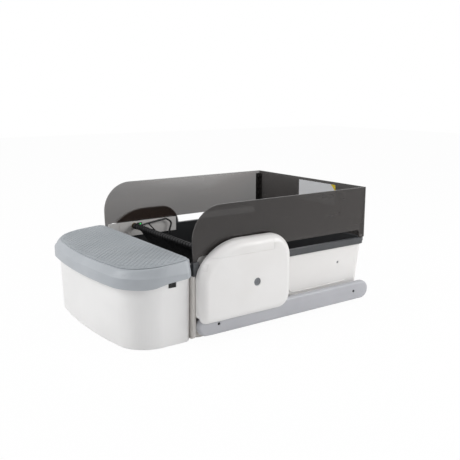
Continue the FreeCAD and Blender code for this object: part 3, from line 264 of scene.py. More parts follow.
class Finish:
    # one material and the few calls that its recipe needs
    def __init__(self, name):
        self.material = bpy.data.materials.new(name)
        self.material.use_nodes = True
        self.tree = self.material.node_tree
        self.shader = self.tree.nodes["Principled BSDF"]
        self.last = None

    def add(self, kind, settings=None, inputs=None):
        made = self.tree.nodes.new(kind)
        for key, value in (settings or {}).items():
            setattr(made, key, value)
        for key, value in (inputs or {}).items():
            self.feed(made.inputs[key], value)
        return made

    def feed(self, socket, value):
        if isinstance(value, Signal):
            value = value.socket
        if isinstance(value, bpy.types.NodeSocket):
            self.tree.links.new(value, socket)
        elif socket.type == "RGBA" and len(value) == 3:
            socket.default_value = (*value, 1.0)
        else:
            socket.default_value = value

    def place(self, scale=None):
        where = self.add("ShaderNodeTexCoord").outputs["Object"]
        if scale is None:
            return where
        return self.add("ShaderNodeMapping", {"vector_type": "POINT"},
                        {"Vector": where, "Scale": scale}).outputs[0]

    def axes(self):
        split = self.add("ShaderNodeSeparateXYZ", {}, {0: self.place()})
        return [Signal(self, output) for output in split.outputs]

    def noise(self, size, detail, stretch=None, roughness=0.5):
        made = self.add("ShaderNodeTexNoise", {"noise_dimensions": "3D"},
                        {"Vector": self.place(stretch), "Scale": 1.0 / size, "Detail": detail,
                         "Roughness": roughness})
        return Signal(self, made.outputs[0])

    def cells(self, size):
        made = self.add("ShaderNodeTexVoronoi", {"feature": "F1"},
                        {"Vector": self.place(), "Scale": 1.0 / size})
        return Signal(self, made.outputs["Distance"])

    def blend(self, factor, first, second):
        made = self.add("ShaderNodeMix", {"data_type": "RGBA", "blend_type": "MIX"},
                        {0: factor, 6: first, 7: second})
        return made.outputs[2]

    def spread(self, signal, low, high, toLow=0.0, toHigh=1.0):
        made = self.add("ShaderNodeMapRange", {"interpolation_type": "SMOOTHSTEP"},
                        {0: signal, 1: low, 2: high, 3: toLow, 4: toHigh})
        return Signal(self, made.outputs[0])

    def relief(self, height, depth, strength):
        # each further relief lies on the one before
        inputs = {"Height": height, "Distance": depth, "Strength": strength}
        if self.last is not None:
            inputs["Normal"] = self.last
        self.last = self.add("ShaderNodeBump", {}, inputs).outputs[0]
        self.feed(self.shader.inputs["Normal"], self.last)

    def put(self, **values):
        names = {"colour": "Base Color", "roughness": "Roughness", "metal": "Metallic",
                 "coat": "Coat Weight", "coatRoughness": "Coat Roughness", "alpha": "Alpha",
                 "ior": "IOR", "glow": "Emission Color", "glowStrength": "Emission Strength",
                 "specular": "Specular IOR Level"}
        for key, value in values.items():
            self.feed(self.shader.inputs[names[key]], value)
        return self.material


toneBand = (0.35, 0.65)      # the middle of a noise, where most of its values lie
moulding = {"flowSize": 0.35, "flowStretch": (1.0, 0.3, 1.6), "flowDeep": 3.0,
            "flowStrength": 0.15, "flowGloss": 0.10, "grainGloss": 0.06, "poreSize": 0.6,
            "grainShare": 0.7, "poreShare": 0.3, "dustSize": 9.0, "dustBand": (0.62, 0.8),
            "ior": 1.5, "coatRoughness": 0.25, "specular": 0.5}


def mouldedPlastic(name, look):
    # injection-moulded shell: slow drift of tone, flow marks, and a fine sparked grain
    rule = moulding
    finish = Finish(name)
    drift = finish.noise(look["drift"], 3.0)
    flow = finish.noise(look["drift"] * rule["flowSize"], 2.0, rule["flowStretch"])
    grain = finish.cells(look["grain"])
    pores = finish.noise(look["grain"] * rule["poreSize"], 3.0)
    dust = finish.noise(look["grain"] * rule["dustSize"], 5.0, roughness=0.7)
    tone = finish.blend(finish.spread(drift, *toneBand), look["colour"], look["shade"])
    tone = finish.blend(finish.spread(dust, *rule["dustBand"]) * look["speck"], tone,
                        look["dust"])
    rough = (look["roughness"] + (flow - 0.5) * rule["flowGloss"]
             + (grain - 0.4) * rule["grainGloss"])
    finish.relief(grain * rule["grainShare"] + pores * rule["poreShare"], look["depth"],
                  look["strength"])
    finish.relief(flow, look["depth"] * rule["flowDeep"], rule["flowStrength"])
    return finish.put(colour=tone, roughness=rough, ior=rule["ior"], coat=look["coat"],
                      coatRoughness=rule["coatRoughness"],
                      specular=look.get("specular", rule["specular"]))


shellLooks = {
    "whiteShell": {"colour": (0.80, 0.785, 0.765), "shade": (0.835, 0.825, 0.81),
                   "dust": (0.70, 0.69, 0.67), "speck": 0.12, "drift": 0.16, "grain": 0.0011,
                   "depth": 0.00004, "strength": 0.35, "roughness": 0.36, "coat": 0.15},
    "binShell": {"colour": (0.79, 0.785, 0.775), "shade": (0.825, 0.82, 0.81),
                 "dust": (0.70, 0.69, 0.68), "speck": 0.12, "drift": 0.20, "grain": 0.0012,
                 "depth": 0.00005, "strength": 0.35, "roughness": 0.40, "coat": 0.10},
    "greyShell": {"colour": (0.385, 0.41, 0.435), "shade": (0.43, 0.455, 0.48),
                  "dust": (0.50, 0.52, 0.54), "speck": 0.20, "drift": 0.12, "grain": 0.0010,
                  "depth": 0.00006, "strength": 0.45, "roughness": 0.44, "coat": 0.05},
    "padGrey": {"colour": (0.30, 0.325, 0.345), "shade": (0.335, 0.36, 0.38),
                "dust": (0.48, 0.50, 0.52), "speck": 0.20, "drift": 0.12, "grain": 0.0010,
                "depth": 0.00006, "strength": 0.45, "roughness": 0.50, "coat": 0.0},
    "greyRail": {"colour": (0.44, 0.445, 0.47), "shade": (0.475, 0.48, 0.505),
                 "dust": (0.53, 0.53, 0.55), "speck": 0.20, "drift": 0.14, "grain": 0.0010,
                 "depth": 0.00006, "strength": 0.45, "roughness": 0.46, "coat": 0.05},
    # the base and front wall are white like the shell; this darker beige is painted shade
    "paintedShadeBase": {"colour": (0.70, 0.67, 0.63), "shade": (0.74, 0.715, 0.68),
                  "dust": (0.60, 0.58, 0.55), "speck": 0.2, "drift": 0.15, "grain": 0.0013,
                  "depth": 0.00006, "strength": 0.5, "roughness": 0.5, "coat": 0.0},
    "framePale": {"colour": (0.77, 0.75, 0.725), "shade": (0.80, 0.785, 0.76),
                  "dust": (0.64, 0.62, 0.60), "speck": 0.15, "drift": 0.10, "grain": 0.0011,
                  "depth": 0.00005, "strength": 0.4, "roughness": 0.45, "coat": 0.0},
    "buttonFace": {"colour": (0.74, 0.73, 0.715), "shade": (0.77, 0.76, 0.745),
                   "dust": (0.66, 0.65, 0.64), "speck": 0.1, "drift": 0.02, "grain": 0.0008,
                   "depth": 0.00004, "strength": 0.5, "roughness": 0.42, "coat": 0.0},
    "blackPan": {"colour": (0.0075, 0.008, 0.009), "shade": (0.012, 0.013, 0.0145),
                 "dust": (0.045, 0.046, 0.047), "speck": 0.35, "drift": 0.10, "grain": 0.0014,
                 "depth": 0.00012, "strength": 0.6, "roughness": 0.52, "coat": 0.0,
                 "specular": 0.25},
    # the rim's own dark plastic; on the carriage frames it is painted shade, where their inner sides lie in
    # shadow
    "darkRimAndPaintedShade": {"colour": (0.045, 0.048, 0.052), "shade": (0.058, 0.061, 0.066),
                "dust": (0.12, 0.12, 0.125), "speck": 0.2, "drift": 0.08, "grain": 0.0010,
                "depth": 0.00006, "strength": 0.4, "roughness": 0.38, "coat": 0.1},
    "combBlack": {"colour": (0.010, 0.010, 0.011), "shade": (0.018, 0.018, 0.019),
                  "dust": (0.08, 0.078, 0.075), "speck": 0.4, "drift": 0.05, "grain": 0.0009,
                  "depth": 0.00008, "strength": 0.5, "roughness": 0.48, "coat": 0.0,
                  "specular": 0.25},
    "gearPlastic": {"colour": (0.66, 0.655, 0.62), "shade": (0.71, 0.70, 0.67),
                    "dust": (0.45, 0.43, 0.38), "speck": 0.3, "drift": 0.03, "grain": 0.0007,
                    "depth": 0.00003, "strength": 0.4, "roughness": 0.38, "coat": 0.0},
    "inletBlack": {"colour": (0.012, 0.012, 0.012), "shade": (0.02, 0.02, 0.02),
                   "dust": (0.06, 0.06, 0.06), "speck": 0.2, "drift": 0.02, "grain": 0.0006,
                   "depth": 0.00003, "strength": 0.4, "roughness": 0.34, "coat": 0.0,
                   "specular": 0.25},
}
finishes = {name: mouldedPlastic(name, look) for name, look in shellLooks.items()}

smokeLook = {"tint": (0.042, 0.036, 0.033), "deep": (0.036, 0.032, 0.030), "alpha": 0.88,
             "roughness": 0.20}
smokeLooks = {
    "smokedPanel": smokeLook,
    # the far side panel is a warmer, more see-through copy of the same sheet, so it looks paler: painted light
    "smokedFarPaintedLight": {**smokeLook, "tint": (0.060, 0.038, 0.028), "alpha": 0.60},
    "smokedClip": {**smokeLook, "tint": (0.03, 0.027, 0.025), "alpha": 0.93},
}
# low, high and paler set painted light: the alpha falls from the panel's lower part to its top
sheet = {"peelDeep": 0.00006, "peelStrength": 0.12, "smearBand": (0.5, 0.75),
         "smearGloss": 0.10, "low": 0.19, "high": 0.32, "paler": 0.03, "meltAlpha": 0.06,
         "ior": 1.49}


def smokedPanelFinish(name, look):
    # tinted sheet, more see-through and so paler towards its top, which is painted light; the tone
    # drifts with the melt flow, and the surface has a faint orange peel
    finish = Finish(name)
    z = finish.axes()[2]
    melt = finish.noise(0.35, 3.0, (1.0, 0.5, 1.4))
    peel = finish.noise(0.006, 2.0)
    smear = finish.noise(0.05, 4.0, (1.0, 0.25, 2.0), 0.65)
    tone = finish.blend(finish.spread(melt, 0.3, 0.7), look["tint"], look["deep"])
    finish.relief(peel, sheet["peelDeep"], sheet["peelStrength"])
    rough = look["roughness"] + finish.spread(smear, *sheet["smearBand"]) * sheet["smearGloss"]
    # thick is not the sheet's thickness: the alpha falls with height, a paler top of painted light
    thick = finish.spread(z, sheet["low"], sheet["high"], look["alpha"] + sheet["paler"],
                          look["alpha"] - sheet["paler"])
    return finish.put(colour=tone, roughness=rough, ior=sheet["ior"],
                      alpha=thick + (melt - 0.5) * sheet["meltAlpha"])


finishes.update({name: smokedPanelFinish(name, look) for name, look in smokeLooks.items()})


wear = {"smudgeSize": 0.012, "smudgeBand": (0.55, 0.8), "smudgeShare": 0.35,
        "smudgeGloss": 0.18, "lineGloss": 0.1, "lineDeep": 0.00002}


def turnedMetal(name, look):
    # brushed or turned metal: fine lines and dull smudges
    finish = Finish(name)
    lines = finish.noise(look["line"], 2.0, look["stretch"])
    smudge = finish.noise(wear["smudgeSize"], 4.0, roughness=0.6)
    tone = finish.blend(finish.spread(lines, *toneBand), look["colour"], look["bright"])
    tone = finish.blend(finish.spread(smudge, *wear["smudgeBand"]) * wear["smudgeShare"], tone,
                        look["dull"])
    finish.relief(lines, wear["lineDeep"], 0.5)
    rough = (look["roughness"] + (smudge - 0.5) * wear["smudgeGloss"]
             + (lines - 0.5) * wear["lineGloss"])
    return finish.put(colour=tone, metal=look["metal"], roughness=rough)


metalLooks = {
    "screwSteel": {"colour": (0.30, 0.30, 0.31), "bright": (0.42, 0.42, 0.43), "metal": 1.0,
                   "dull": (0.16, 0.15, 0.14), "line": 0.0006, "stretch": (1, 1, 1),
                   "roughness": 0.34},
    "discSteel": {"colour": (0.13, 0.14, 0.15), "bright": (0.24, 0.25, 0.26), "metal": 0.85,
                  "dull": (0.08, 0.085, 0.09), "line": 0.0007, "stretch": (1, 1, 4),
                  "roughness": 0.36},
    "motorSteel": {"colour": (0.46, 0.46, 0.47), "bright": (0.60, 0.60, 0.61), "metal": 1.0,
                   "dull": (0.30, 0.29, 0.28), "line": 0.0008, "stretch": (6, 1, 1),
                   "roughness": 0.30},
    "turnedBrass": {"colour": (0.16, 0.12, 0.07), "bright": (0.26, 0.20, 0.11), "metal": 1.0,
                    "dull": (0.09, 0.07, 0.05), "line": 0.0006, "stretch": (1, 4, 4),
                    "roughness": 0.42},
    "screwBlack": {"colour": (0.020, 0.020, 0.021), "bright": (0.045, 0.045, 0.046),
                   "metal": 0.9, "dull": (0.06, 0.058, 0.055), "line": 0.0006,
                   "stretch": (1, 1, 1), "roughness": 0.40},
    "rakeBlack": {"colour": (0.010, 0.010, 0.011), "bright": (0.022, 0.022, 0.023),
                  "metal": 0.15, "dull": (0.04, 0.039, 0.037), "line": 0.0012,
                  "stretch": (1, 1, 1), "roughness": 0.36},
}
finishes.update({name: turnedMetal(name, look) for name, look in metalLooks.items()})


def rubberFinish():
    # foot rubber: moulded pimples and a little dust on them
    finish = Finish("footRubber")
    pimples = finish.cells(0.0016)
    dirt = finish.noise(0.009, 4.0, roughness=0.65)
    tone = finish.blend(finish.spread(dirt, 0.5, 0.8) * 0.5, (0.016, 0.016, 0.017),
                        (0.10, 0.095, 0.085))
    finish.relief(1.0 - pimples, 0.00018, 0.6)
    return finish.put(colour=tone, roughness=0.74 + (dirt - 0.5) * 0.2)


boardLook = {"tracksAcross": 310.0, "tracksAlong": 260.0, "trackEdge": 0.40}


def boardFinish():
    # solder mask with copper tracks under it
    finish = Finish("boardGreen")
    y, z = finish.axes()[1:]
    across = (y * boardLook["tracksAcross"]).folded()
    along = (z * boardLook["tracksAlong"] + finish.noise(0.03, 1.0) * 2.0).folded()
    tracks = across.greater(along).above(boardLook["trackEdge"])
    weave = finish.noise(0.0009, 2.0)
    tone = finish.blend(tracks, (0.012, 0.11, 0.045), (0.035, 0.21, 0.085))
    finish.relief(tracks + weave * 0.2, 0.00005, 0.6)
    return finish.put(colour=tone, roughness=0.33 + (weave - 0.5) * 0.1)


def lightFinish():
    # lit green lens with slightly uneven colour
    finish = Finish("lightGreen")
    ripple = finish.noise(0.0012, 2.0)
    tone = finish.blend(ripple, (0.02, 0.42, 0.07), (0.05, 0.60, 0.13))
    finish.relief(ripple, 0.00005, 0.3)
    return finish.put(colour=tone, roughness=0.2, glow=tone, glowStrength=1.4)


finishes.update(footRubber=rubberFinish(), boardGreen=boardFinish(), lightGreen=lightFinish())

nodesOfFinish = {
    # base and front wall: white parts coloured a darker beige as painted shade
    "paintedShadeBase": "base_chassis front_bulkhead",
    "footRubber": "rubber_feet bin_feet",
    "greyRail": "right_rail_skirt left_rail_skirt",
    "screwBlack": "rail_screws",
    "screwSteel": "tub_screws",
    "whiteShell": "litter_tub right_pod_shell left_pod_shell right_pod_cap left_pod_cap",
    "blackPan": "litter_pan bag_ring",
    # the carriage frames are pale plastic: the dark rim finish on them is painted shade
    "darkRimAndPaintedShade": "rim_frame fence_foot_clips right_carriage_frame left_carriage_frame",
    "gearPlastic": "right_gear_rack left_gear_rack right_travel_pinion left_travel_pinion"
                   " rake_gear right_glide_shoes left_glide_shoes",
    "turnedBrass": "rake_drive_pinion right_shaft_bush left_shaft_bush",
    "smokedPanel": "right_fence_side fence_rear_panel",
    # the far side panel takes the paler copy of the smoked sheet: painted light
    "smokedFarPaintedLight": "left_fence_side",
    "smokedClip": "right_corner_clip left_corner_clip",
    "discSteel": "right_pod_disc left_pod_disc",
    "motorSteel": "right_travel_motor left_travel_motor rake_motor",
    "buttonFace": "clean_button",
    "boardGreen": "control_board",
    "lightGreen": "status_light",
    "inletBlack": "power_inlet bin_window_inserts",
    "rakeBlack": "rake_shaft rake_end_hoops",
    "combBlack": "rake_comb rake_tines",
    "framePale": "right_carriage_arm left_carriage_arm",
    "binShell": "bin_tub",
    "greyShell": "lid_shell",
    "padGrey": "lid_step_pad",
}
nodeFinish = {node: finish for finish, names in nodesOfFinish.items() for node in names.split()}
for node, finish in nodeFinish.items():
    cadNodes[node].data.materials.clear()
    cadNodes[node].data.materials.append(finishes[finish])
print("finishes:", len(bpy.data.materials), "nodes finished:", len(nodeFinish))


# softened shells: copies of CAD nodes with the real edge radii

binShape = {"floor": 0.0031, "footRadius": 0.0062, "segments": 5, "sharp": 40.0}


def makeBin():
    shape = binShape
    piece = softCopy("bin_tub", "binShellSoft")
    roundEdges(piece, lambda at: at.z < shape["floor"], shape["footRadius"], shape["segments"],
               shape["sharp"])
    standIn(piece, "bin_tub")


# rounded: height of the edge, radius, segments and least angle
lidShape = {"rounded": ((0.1996, 0.0022, 4, 12.0), (0.172, 0.0075, 7, 10.0)), "near": 0.0002,
            "rear": -0.192, "deeper": 1.145, "wider": 1.021, "lean": 0.078, "still": 0.176,
            "full": 0.197, "smooth": 30.0}


def leanTop(piece):
    # the real lid's top reaches closer to the skirt and falls towards the front; the band
    # below it follows in proportion to its height
    shape = lidShape
    for vertex in piece.data.vertices:
        at = vertex.co
        part = (at.z - shape["still"]) / (shape["full"] - shape["still"])
        if part > 0:
            back = (shape["rear"] - at.y) * shape["deeper"]
            there = Vector((at.x * shape["wider"], shape["rear"] - back,
                            at.z - back * shape["lean"]))
            vertex.co = at.lerp(there, min(part, 1.0))


def makeLid():
    shape = lidShape
    piece = softCopy("lid_shell", "lidShellSoft")
    for height, radius, segments, sharp in shape["rounded"]:
        roundEdges(piece, lambda at: abs(at.z - height) < shape["near"], radius, segments, sharp)
    leanTop(piece)
    standIn(piece, "lid_shell", shape["smooth"])


padShape = {"gripInset": 0.0035, "across": 0.0142, "along": 0.0165, "slope": 0.0019,
            "rise": 0.0013, "leastArea": 0.00008, "weld": 0.000004, "smooth": 20.0}


def padPlate(piece, node):
    # the CAD pad's flat underside, leant with the lid and made as thick as the CAD's pad
    low = min(vertex.co.z for vertex in piece.data.vertices)
    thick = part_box(node)[1].z - low
    pick(piece, "FACE", lambda face: face.normal.z > -0.9 or face.center.z > low + close)
    bpy.ops.mesh.delete(type="FACE")
    bpy.ops.mesh.select_all(action="SELECT")
    bpy.ops.mesh.flip_normals()
    leave()
    leanTop(piece)
    openWhole(piece)
    bpy.ops.mesh.extrude_region_move(TRANSFORM_OT_translate={"value": (0, 0, thick)})
    bpy.ops.mesh.select_mode(type="EDGE")
    bpy.ops.mesh.select_all(action="DESELECT")
    bpy.ops.mesh.select_non_manifold()
    bpy.ops.mesh.edge_face_add()
    bpy.ops.mesh.select_all(action="SELECT")
    bpy.ops.mesh.normals_make_consistent(inside=False)
    leave()


def raiseDiamonds(grip):
    # cuts the surface along two sets of slanted lines and raises each whole diamond
    shape = padShape
    angle = math.atan2(shape["across"], shape["along"])
    pitch = shape["across"] * math.cos(angle)
    openWhole(grip)
    for turn in (angle, -angle):
        way = Vector((math.cos(turn), math.sin(turn), 0))
        places = [way.dot(vertex.co) / pitch for vertex in grip.data.vertices]
        for step in range(math.ceil(min(places)), math.floor(max(places)) + 1):
            bpy.ops.mesh.select_all(action="SELECT")
            bpy.ops.mesh.bisect(plane_co=way * (pitch * step), plane_no=way)
    leave()
    pick(grip, "FACE", lambda face: face.area > shape["leastArea"])
    bpy.ops.mesh.inset(use_individual=True, thickness=shape["slope"], depth=shape["rise"])
    leave()


def makePad():
    # a raised plate whose top, inside a plain border, has a diamond grip
    node = "lid_step_pad"
    piece = softCopy(node, "stepPad")
    padPlate(piece, node)
    pick(piece, "FACE", facing((0, 0, 1), 0.9))
    bpy.ops.mesh.inset(thickness=padShape["gripInset"], depth=0)
    bpy.ops.mesh.separate(type="SELECTED")
    leave()
    grip = [item for item in bpy.context.selected_objects if item is not piece][0]
    raiseDiamonds(grip)
    whole = joined("stepPad", [piece, grip])
    openWhole(whole)
    bpy.ops.mesh.remove_doubles(threshold=padShape["weld"])
    leave()
    standIn(whole, node, padShape["smooth"])


fenceShape = {"half": 0.235, "rear": 0.366, "top": 0.3, "cornerRadius": 0.0034,
              "cornerSharp": 60.0, "rimRadius": 0.0011, "rimSharp": 50.0, "bandWidth": 0.0042,
              "bandStep": 0.0009, "bandDeep": 0.0007, "panelArea": 0.01}


def makeFence():
    # round rims, a rounded rear corner, and a band along the outer face's edge that is left
    # standing when the face sinks a little
    shape = fenceShape
    rim = (shape["rimRadius"], 3, shape["rimSharp"])
    for word, side in sides.items():
        node = word + "_fence_side"
        piece = softCopy(node, word + "FencePanel")
        roundEdges(piece, lambda at: (at.x * side > shape["half"] - close
                                      and at.y > shape["rear"] - close),
                   shape["cornerRadius"], 5, shape["cornerSharp"])
        pick(piece, "FACE", lambda face: (face.normal.x * side > 0.99
                                          and face.area > shape["panelArea"]))
        bpy.ops.mesh.inset(thickness=shape["bandWidth"], depth=0)
        bpy.ops.mesh.inset(thickness=shape["bandStep"], depth=-shape["bandDeep"])
        leave()
        roundEdges(piece, lambda at: True, *rim)
        standIn(piece, node)
    piece = softCopy("fence_rear_panel", "rearFencePanel")
    roundEdges(piece, lambda at: at.z > shape["top"], *rim)
    standIn(piece, "fence_rear_panel")


podShape = {"seam": 0.200, "seamRear": 0.023, "near": 0.0012, "seamRound": 0.0006,
            "seamSharp": 50.0, "discHole": 0.0099, "holeLong": 0.010}


def makePods():
    # both covers: a softened parting line, and a wider seat for the hub cap
    shape = podShape
    for word in sides:
        discLow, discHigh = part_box(word + "_pod_disc")
        for part in ("_pod_shell", "_pod_cap"):
            piece = softCopy(word + part, word + part.title().replace("_", ""))
            if part == "_pod_shell":
                combine(piece, "DIFFERENCE", rodAcross("discSeat", (discLow + discHigh) / 2,
                                                       shape["discHole"], shape["holeLong"], 64))
            roundEdges(piece, lambda at: (abs(at.z - shape["seam"]) < shape["near"]
                                          or abs(at.y - shape["seamRear"]) < shape["near"]),
                       shape["seamRound"], 2, shape["seamSharp"])
            standIn(piece, word + part)


railShape = {"nose": -0.150, "longer": 0.0135}


def makeRails():
    # the rails' front ends reach further forward than the CAD's
    for word in sides:
        node = word + "_rail_skirt"
        piece = softCopy(node, word + "Rail")
        for vertex in piece.data.vertices:
            if vertex.co.y < railShape["nose"]:
                vertex.co.y -= railShape["longer"]
        standIn(piece, node)


# seams: place along Y and lower end
armShape = {"thick": 0.0028, "front": -0.167, "rear": 0.041, "low": 0.160, "top": 0.2016,
            "tongue": -0.180, "tongueLow": 0.1822, "lap": 0.004, "corner": 0.004,
            "cornerSharp": 60.0, "armLow": 0.184, "bite": 0.0005, "over": 0.001,
            "seams": ((-0.1465, 0.158), (-0.1046, 0.1995)), "seamHalf": 0.00055,
            "seamDeep": 0.0008, "bore": 0.00705, "boreLong": 0.06}


def makeSkirtPlates():
    # inside the fence the carriage shows a wide plate with two thin seams, and the arm
    # through the fence's slot grows from its back
    shape = armShape
    shaftLow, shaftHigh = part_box("rake_shaft")
    hub = (shaftLow + shaftHigh) / 2
    for word, side in sides.items():
        node = word + "_carriage_arm"
        low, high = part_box(node)
        inner, outer = (low.x, high.x) if side > 0 else (high.x, low.x)
        back = inner + side * shape["thick"]
        lowX, highX = min(inner, back), max(inner, back)
        plate = block(word + "SkirtPlate", (lowX, shape["front"], shape["low"]),
                      (highX, shape["rear"], shape["top"]))
        combine(plate, "UNION", block("tongue", (lowX, shape["tongue"], shape["tongueLow"]),
                                      (highX, shape["front"] + shape["lap"], shape["top"])))
        roundEdges(plate, lambda at: at.y > shape["rear"] - close, shape["corner"], 4,
                   shape["cornerSharp"])
        combine(plate, "UNION",
                block("arm", (min(back, outer) - shape["bite"], low.y, shape["armLow"]),
                      (max(back, outer), high.y, high.z)))
        for place, bottom in shape["seams"]:
            combine(plate, "DIFFERENCE",
                    block("seamTool",
                          (inner - shape["seamDeep"], place - shape["seamHalf"], bottom),
                          (inner + shape["seamDeep"], place + shape["seamHalf"],
                           shape["top"] + shape["over"])))
        combine(plate, "DIFFERENCE", rodAcross("shaftTool", (inner, hub.y, hub.z),
                                               shape["bore"], shape["boreLong"], 48))
        standIn(plate, node)


# run: Y and Z of the line's points, which are put on the tub's own wall
lipShape = {"radius": 0.0011, "out": 0.0004, "outside": 0.4,
            "run": ((0.1012, 0.092), (0.1030, 0.077), (0.1090, 0.069), (0.1180, 0.0655),
                    (0.1300, 0.0645), (0.2200, 0.0645), (0.3050, 0.0655))}


def makeTubLips():
    # the thin line along the tub's lower edge, which turns up at its front corner
    shape = lipShape
    wall = cadNodes["litter_tub"]
    made = []
    for side in sides.values():
        curve = bpy.data.curves.new("tubLip", "CURVE")
        curve.dimensions, curve.bevel_depth, curve.bevel_resolution = "3D", shape["radius"], 3
        curve.use_fill_caps = True
        spline = curve.splines.new("POLY")
        spline.points.add(len(shape["run"]) - 1)
        for point, (y, z) in zip(spline.points, shape["run"]):
            at = wall.ray_cast((side * shape["outside"], y, z), (-side, 0, 0))[1]
            point.co = (at.x + side * shape["out"], y, z, 1.0)
        lip = bpy.data.objects.new("tubLip", curve)
        bpy.context.scene.collection.objects.link(lip)
        takeUp(lip)
        bpy.ops.object.convert(target="MESH")
        made.append(bpy.context.object)
    settle(joined("tubLips", made), finishes["whiteShell"], "base")


# small pieces, modelled from a primitive

discShape = {"radius": 0.0096, "dish": 0.0007, "ring": 0.0012, "step": 0.0042, "middle": 0.55,
             "rim": 0.00035, "slotLong": 0.0098, "slotWide": 0.0016, "slotDeep": 0.0009,
             "slotTurn": 62.0, "sharp": 40.0}


def makeDiscs():
    # hub caps: a turned ring, a shallow dish and a coin slot
    shape = discShape
    for word, side in sides.items():
        node = word + "_pod_disc"
        low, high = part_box(node)
        middle = (low + high) / 2
        face = high.x if side > 0 else low.x
        piece = rodAcross(word + "HubCap", middle, shape["radius"], high.x - low.x, 72)
        pick(piece, "FACE", facing((side, 0, 0), 0.99))
        bpy.ops.mesh.inset(thickness=shape["ring"], depth=0)
        bpy.ops.transform.translate(value=(-side * shape["dish"], 0, 0))
        bpy.ops.mesh.inset(thickness=shape["step"], depth=0)
        bpy.ops.transform.translate(value=(side * shape["dish"] * shape["middle"], 0, 0))
        leave()
        roundEdges(piece, lambda at: abs(at.x - face) < hair, shape["rim"], 3, shape["sharp"])
        bpy.ops.mesh.primitive_cube_add(size=1.0, location=(face, middle.y, middle.z),
                                        rotation=(math.radians(shape["slotTurn"]), 0, 0),
                                        scale=(shape["slotDeep"] * 2, shape["slotLong"],
                                               shape["slotWide"]))
        combine(piece, "DIFFERENCE", started("coinSlot"))
        standIn(piece, node)


screwShape = {"headRadius": 0.0036, "headDepth": 0.0022, "crown": 0.0006, "sharp": 40.0,
              "shank": 0.0019, "railLength": 0.0257, "socket": 0.0017, "socketDeep": 0.0013}


def makeScrew(name, face, y, z, side, length):
    # one screw: a crowned head with a six-sided socket, and its shank where it is free
    shape = screwShape
    piece = rodAcross(name, (face - side * shape["headDepth"] / 2, y, z), shape["headRadius"],
                      shape["headDepth"], 36)
    roundEdges(piece, lambda at: abs(at.x - face) < hair, shape["crown"], 4, shape["sharp"])
    if length:
        pick(piece, "FACE", facing((-side, 0, 0), 0.99))
        bpy.ops.mesh.inset(thickness=shape["headRadius"] - shape["shank"], depth=0)
        bpy.ops.mesh.extrude_region_move(
            TRANSFORM_OT_translate={"value": (-side * length, 0, 0)})
        leave()
    combine(piece, "DIFFERENCE", rodAcross("socketTool", (face, y, z), shape["socket"],
                                           shape["socketDeep"] * 2, 6))
    return piece


def makeScrews():
    # two screws in each rail, one in each side of the tub
    head = screwShape["headRadius"]
    rail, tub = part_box("rail_screws"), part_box("tub_screws")
    for node, name, (low, high), places, length in (
            ("rail_screws", "railScrews", rail, (rail[0].y + head, rail[1].y - head),
             screwShape["railLength"]),
            ("tub_screws", "tubScrews", tub, ((tub[0].y + tub[1].y) / 2,), 0.0)):
        made = []
        z = (low.z + high.z) / 2
        for side in sides.values():
            first = makeScrew(name, high.x * side, places[0], z, side, length)
            made += [first] + repeated(first, [(0, y - places[0], 0) for y in places[1:]])
        standIn(joined(name, made), node)


lensShape = {"radius": 0.0028, "sunk": 0.0006, "flat": 0.62, "cut": 0.0030}
holderShape = {"front": 0.0102, "rear": 0.0056, "tall": 0.0046, "deep": 0.0014,
               "bite": 0.0004, "round": 0.0009, "sharp": 40.0}


def makeStatusLight():
    # the lens is a low dome, in a black block beside the hub
    low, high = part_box("status_light")
    middle = (low + high) / 2
    bpy.ops.mesh.primitive_uv_sphere_add(
        segments=32, ring_count=16, radius=lensShape["radius"],
        location=(high.x - lensShape["sunk"], middle.y, middle.z),
        scale=(lensShape["flat"], 1.0, 1.0))
    lens = started("statusLens")
    pick(lens, "VERT", lambda vertex: vertex.co.x < high.x - lensShape["cut"])
    bpy.ops.mesh.delete(type="VERT")
    leave()
    ring = openEdges(lens.data)
    pick(lens, "EDGE", lambda edge: edge.key in ring)
    bpy.ops.mesh.edge_face_add()
    leave()
    standIn(lens, "status_light")
    shape = holderShape
    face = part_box("left_carriage_arm")[1].x
    holder = block("lightHolder",
                   (face - shape["bite"], middle.y - shape["front"], middle.z - shape["tall"]),
                   (face + shape["deep"], middle.y + shape["rear"], middle.z + shape["tall"]))
    roundEdges(holder, lambda at: at.x > face, shape["round"], 3, shape["sharp"])
    settle(holder, finishes["inletBlack"], "carriage")


plateShape = {"left": -0.034, "right": 0.122, "low": 0.250, "high": 0.310, "thick": 0.0004,
              "corner": 0.004, "segments": 6, "tab": 0.019, "tabThick": 0.8, "near": 0.001}


def paperFinish():
    finish = Finish("blankPaper")
    fibre = finish.noise(0.0011, 4.0, roughness=0.7)
    tone = finish.blend(finish.spread(fibre, 0.4, 0.7), (0.72, 0.73, 0.74), (0.78, 0.79, 0.80))
    finish.relief(fibre, 0.00002, 0.3)
    return finish.put(colour=tone, roughness=0.5 + (fibre - 0.5) * 0.1)


def yellowFinish():
    finish = Finish("plainYellow")
    fleck = finish.noise(0.0015, 3.0)
    tone = finish.blend(finish.spread(fleck, 0.4, 0.7), (0.70, 0.52, 0.02), (0.78, 0.60, 0.03))
    finish.relief(fleck, 0.00002, 0.2)
    return finish.put(colour=tone, roughness=0.45)


def roundCorners(piece, wanted):
    # the edges across a sheet whose ends both pass the test
    vertices = piece.data.vertices
    pick(piece, "EDGE", lambda edge: all(wanted(vertices[i].co) for i in edge.vertices)
         and abs(vertices[edge.vertices[0]].co.y - vertices[edge.vertices[1]].co.y) > close)
    bpy.ops.mesh.bevel(offset=plateShape["corner"], segments=plateShape["segments"],
                       profile=0.5)
    leave()


